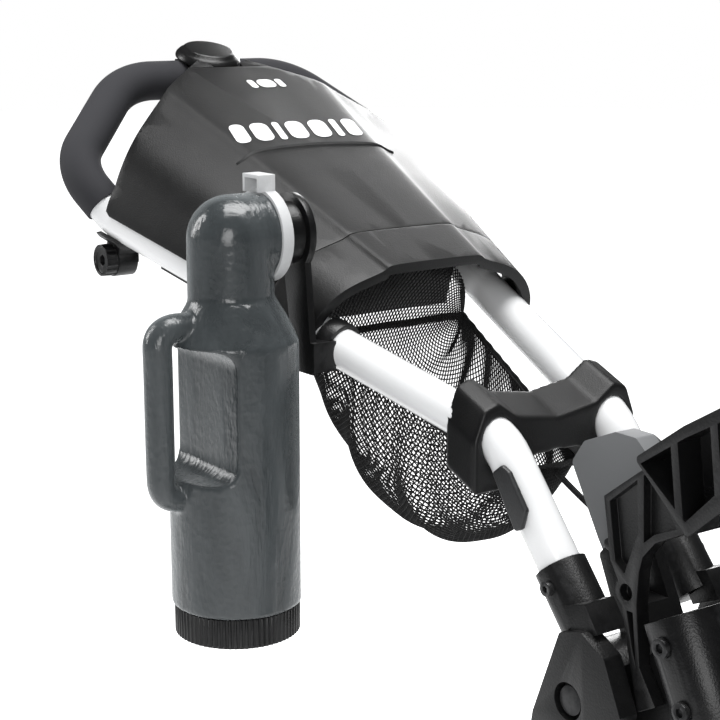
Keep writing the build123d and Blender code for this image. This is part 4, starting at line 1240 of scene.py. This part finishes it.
@dataclass
class Knob:
    """Clamp knob with finger flutes and a hexagon recess, on the right bracket.

    Attributes:
        radius: radius over the flutes.
        depth: length of its head.
        face: Y of its inner face.
        flutes: finger flutes round it.
        stem_radius: radius of its stem.
        nut_radius: radius over the corners of the nut at the stem's end.
        recess_radius: radius over the corners of the recess.
        place: X and Z of its axis.
    """

    place: Vector
    radius: float = 0.0125
    depth: float = 0.009
    face: float = -0.1373
    flutes: int = 12
    stem_radius: float = 0.00315
    nut_radius: float = 0.006
    recess_radius: float = 0.0045

    def build(self) -> Piece:
        """Builds and dresses the knob.

        Returns:
            The dressed knob.
        """
        near = Vector((self.place.x, self.face, self.place.z))
        far = near + Vector((0.0, -self.depth, 0.0))
        head = bar("knob_head", near, far, self.radius, self.radius * 0.97, 48)
        edit_faces(head, lambda face: face.normal.y < -0.9,
                   lambda: bpy.ops.mesh.inset(thickness=0.0018, depth=0.0),
                   lambda: bpy.ops.mesh.inset(thickness=0.0006, depth=-0.0014))
        step = math.tau / self.flutes

        def in_flute(face: Face) -> bool:
            """Whether a face lies in a flute."""
            offset = face.center - near
            outside = math.hypot(offset.x, offset.z) > self.radius * 0.9 and abs(face.normal.y) < 0.3
            return outside and (math.atan2(offset.z, offset.x) / step) % 1.0 < 0.5

        edit_faces(head, in_flute, lambda: bpy.ops.mesh.inset(thickness=0.0003, depth=-0.0007))

        def across(name: str, middle: Vector, start: float, end: float, radius: float,
                   vertices: int) -> Piece:
            """Bar across the trolley, from one distance off a point to another."""
            return bar(name, middle + Vector((0.0, start, 0.0)), middle + Vector((0.0, end, 0.0)), radius,
                       vertices=vertices)

        hexagon = across("recess", far, 0.0056, -0.002, self.recess_radius, 6)
        modify(head, "BOOLEAN", operation="DIFFERENCE", object=hexagon, solver="EXACT")
        bpy.data.objects.remove(hexagon)
        stem = across("stem", near, 0.0216, -0.001, self.stem_radius, 32)
        nut = across("nut", near, 0.0166, 0.0213, self.nut_radius, 6)
        knob = join("knob_fluted", [round_edges(head, 0.0005, 2), stem, round_edges(nut, 0.0004)])
        smooth(knob)
        return settle(knob, "knob_right", CAP_PLASTIC, ["knob_right"])


# ---- stage, light and camera ----
@dataclass
class Studio:
    """Pale floor, soft light and the camera.

    Attributes:
        eye: the camera's place.
        ahead: the way it looks.
        up: its upward direction.
        lens: its lens in millimetres.
        floor_radius: radius of the floor.
        floor_glow: light that the floor adds for the camera alone.
        matt_light: strength of the world on matt surfaces, above the rest.
        plain_light: strength of the world in reflections.
    """

    eye: Vector
    ahead: Vector
    up: Vector
    lens: float
    floor_radius: float = 14.0
    floor_glow: float = 0.97
    matt_light: float = 0.42
    plain_light: float = 0.055

    def floor(self) -> Piece:
        """Lays the floor.

        Returns:
            The floor, which isn't part of the object.
        """
        bpy.ops.mesh.primitive_circle_add(vertices=128, radius=self.floor_radius, fill_type="NGON",
                                          location=(0.0, 0.0, 0.0))
        floor = new_piece("studio_floor")
        material = bpy.data.materials.new("studio_floor")
        material.use_nodes = True
        maker = NodeMaker(material.node_tree)
        shader = material.node_tree.nodes["Principled BSDF"]
        shader.inputs["Roughness"].default_value = 0.85
        noise = maker.add("TexNoise", Scale=1.5, Detail=3.0)
        pale = maker.blend(noise.outputs["Fac"], (0.86, 0.86, 0.86), (0.9, 0.9, 0.9))
        maker.link(pale, shader.inputs["Base Color"])
        shader.inputs["Emission Color"].default_value = (1.0, 1.0, 1.0, 1.0)
        rays = maker.add("LightPath")
        glow = maker.math("MULTIPLY", rays.outputs["Is Camera Ray"], self.floor_glow)
        maker.link(glow, shader.inputs["Emission Strength"])
        floor.data.materials.append(material)
        return floor

    def panel(self, name: str, place: Vector, target: Vector, size: tuple[float, float],
              power: float) -> None:
        """Hangs a soft light.

        Args:
            name: the light's name.
            place: where it hangs.
            target: the point that it faces.
            size: its width and height.
            power: its power in watts.
        """
        data = bpy.data.lights.new(name, "AREA")
        data.shape, data.size, data.size_y, data.energy = "RECTANGLE", size[0], size[1], power
        light = bpy.data.objects.new(name, data)
        light.location = place
        light.rotation_euler = (target - place).to_track_quat("-Z", "Y").to_euler()
        bpy.context.scene.collection.objects.link(light)

    def sky(self) -> None:
        """Makes the world: white behind the object, and softer where it lights it."""
        world = bpy.data.worlds.new("studio_world")
        bpy.context.scene.world = world
        world.use_nodes = True
        maker = NodeMaker(world.node_tree)
        lit = world.node_tree.nodes["Background"]
        lit.inputs["Color"].default_value = (0.93, 0.95, 0.97, 1.0)
        seen = maker.add("Background", Color=(1.0, 1.0, 1.0, 1.0), Strength=1.0)
        rays, mix = maker.add("LightPath"), maker.add("MixShader")
        matt = maker.math("MULTIPLY", rays.outputs["Is Diffuse Ray"], self.matt_light)
        maker.link(maker.math("ADD", matt, self.plain_light), lit.inputs["Strength"])
        maker.link(rays.outputs["Is Camera Ray"], mix.inputs[0])
        maker.link(lit.outputs[0], mix.inputs[1])
        maker.link(seen.outputs[0], mix.inputs[2])
        maker.link(mix.outputs[0], world.node_tree.nodes["World Output"].inputs["Surface"])

    def build(self) -> None:
        """Builds the whole studio."""
        self.floor()
        self.sky()
        middle = Vector((-0.2, 0.0, 0.85))
        self.panel("top_soft_box", Vector((-0.1, 0.2, 2.9)), middle, (1.5, 1.5), 62.0)
        self.panel("left_strip", Vector((-2.2, -1.6, 1.9)), middle, (0.7, 1.8), 30.0)
        self.panel("front_fill", Vector((1.9, -1.7, 1.5)), middle, (1.2, 1.4), 26.0)
        self.panel("rear_rim", Vector((-1.9, 1.6, 1.5)), middle, (0.7, 1.2), 26.0)
        scene = bpy.context.scene
        scene.view_settings.view_transform = "Standard"
        data = bpy.data.cameras.new("camera")
        data.lens, data.sensor_width = self.lens, 36.0
        data.clip_start, data.clip_end = 0.02, 60.0
        camera = bpy.data.objects.new("camera", data)
        right = self.ahead.cross(self.up)
        turn = Matrix((right, self.up, -self.ahead)).transposed().to_4x4()
        camera.matrix_world = Matrix.Translation(self.eye) @ turn
        scene.collection.objects.link(camera)
        scene.camera = camera
        LOG.info("camera, light and floor are in place")


def main() -> None:
    """Builds the studio and every piece of the trolley, in order."""
    Studio(eye=Vector((0.6905, -0.7377, 1.0925)), ahead=Vector((-0.7938, 0.5683, -0.2164)).normalized(),
           up=Vector((-0.1760, 0.1260, 0.9763)).normalized(), lens=85.8).build()
    make_effects()
    finished = {moulding.node: moulding.build() for moulding in mouldings()}
    SoftMoulding("saddle", BLACK_PLASTIC).build()
    Bottle(centre=Vector((-0.270, -0.154, 0.0))).build()
    NetBasket().build()
    Knob(place=on_handle(0.364, 0.0, -0.030)).build()
    lid = finished["console_lid"]
    LidMark("lid_mark", along=0.3535, widths=(0.013, 0.006, 0.0165, 0.0165, 0.006, 0.0165, 0.013),
            height=0.026, gap=0.0048, lean=0.005).build(lid)
    lid_ridge(lid)
    LidMark("rear_mark", along=0.428, widths=(0.006, 0.016, 0.006), height=0.013, gap=0.0022,
            middle=0.018).build(lid)


if __name__ == "__main__":
    main()
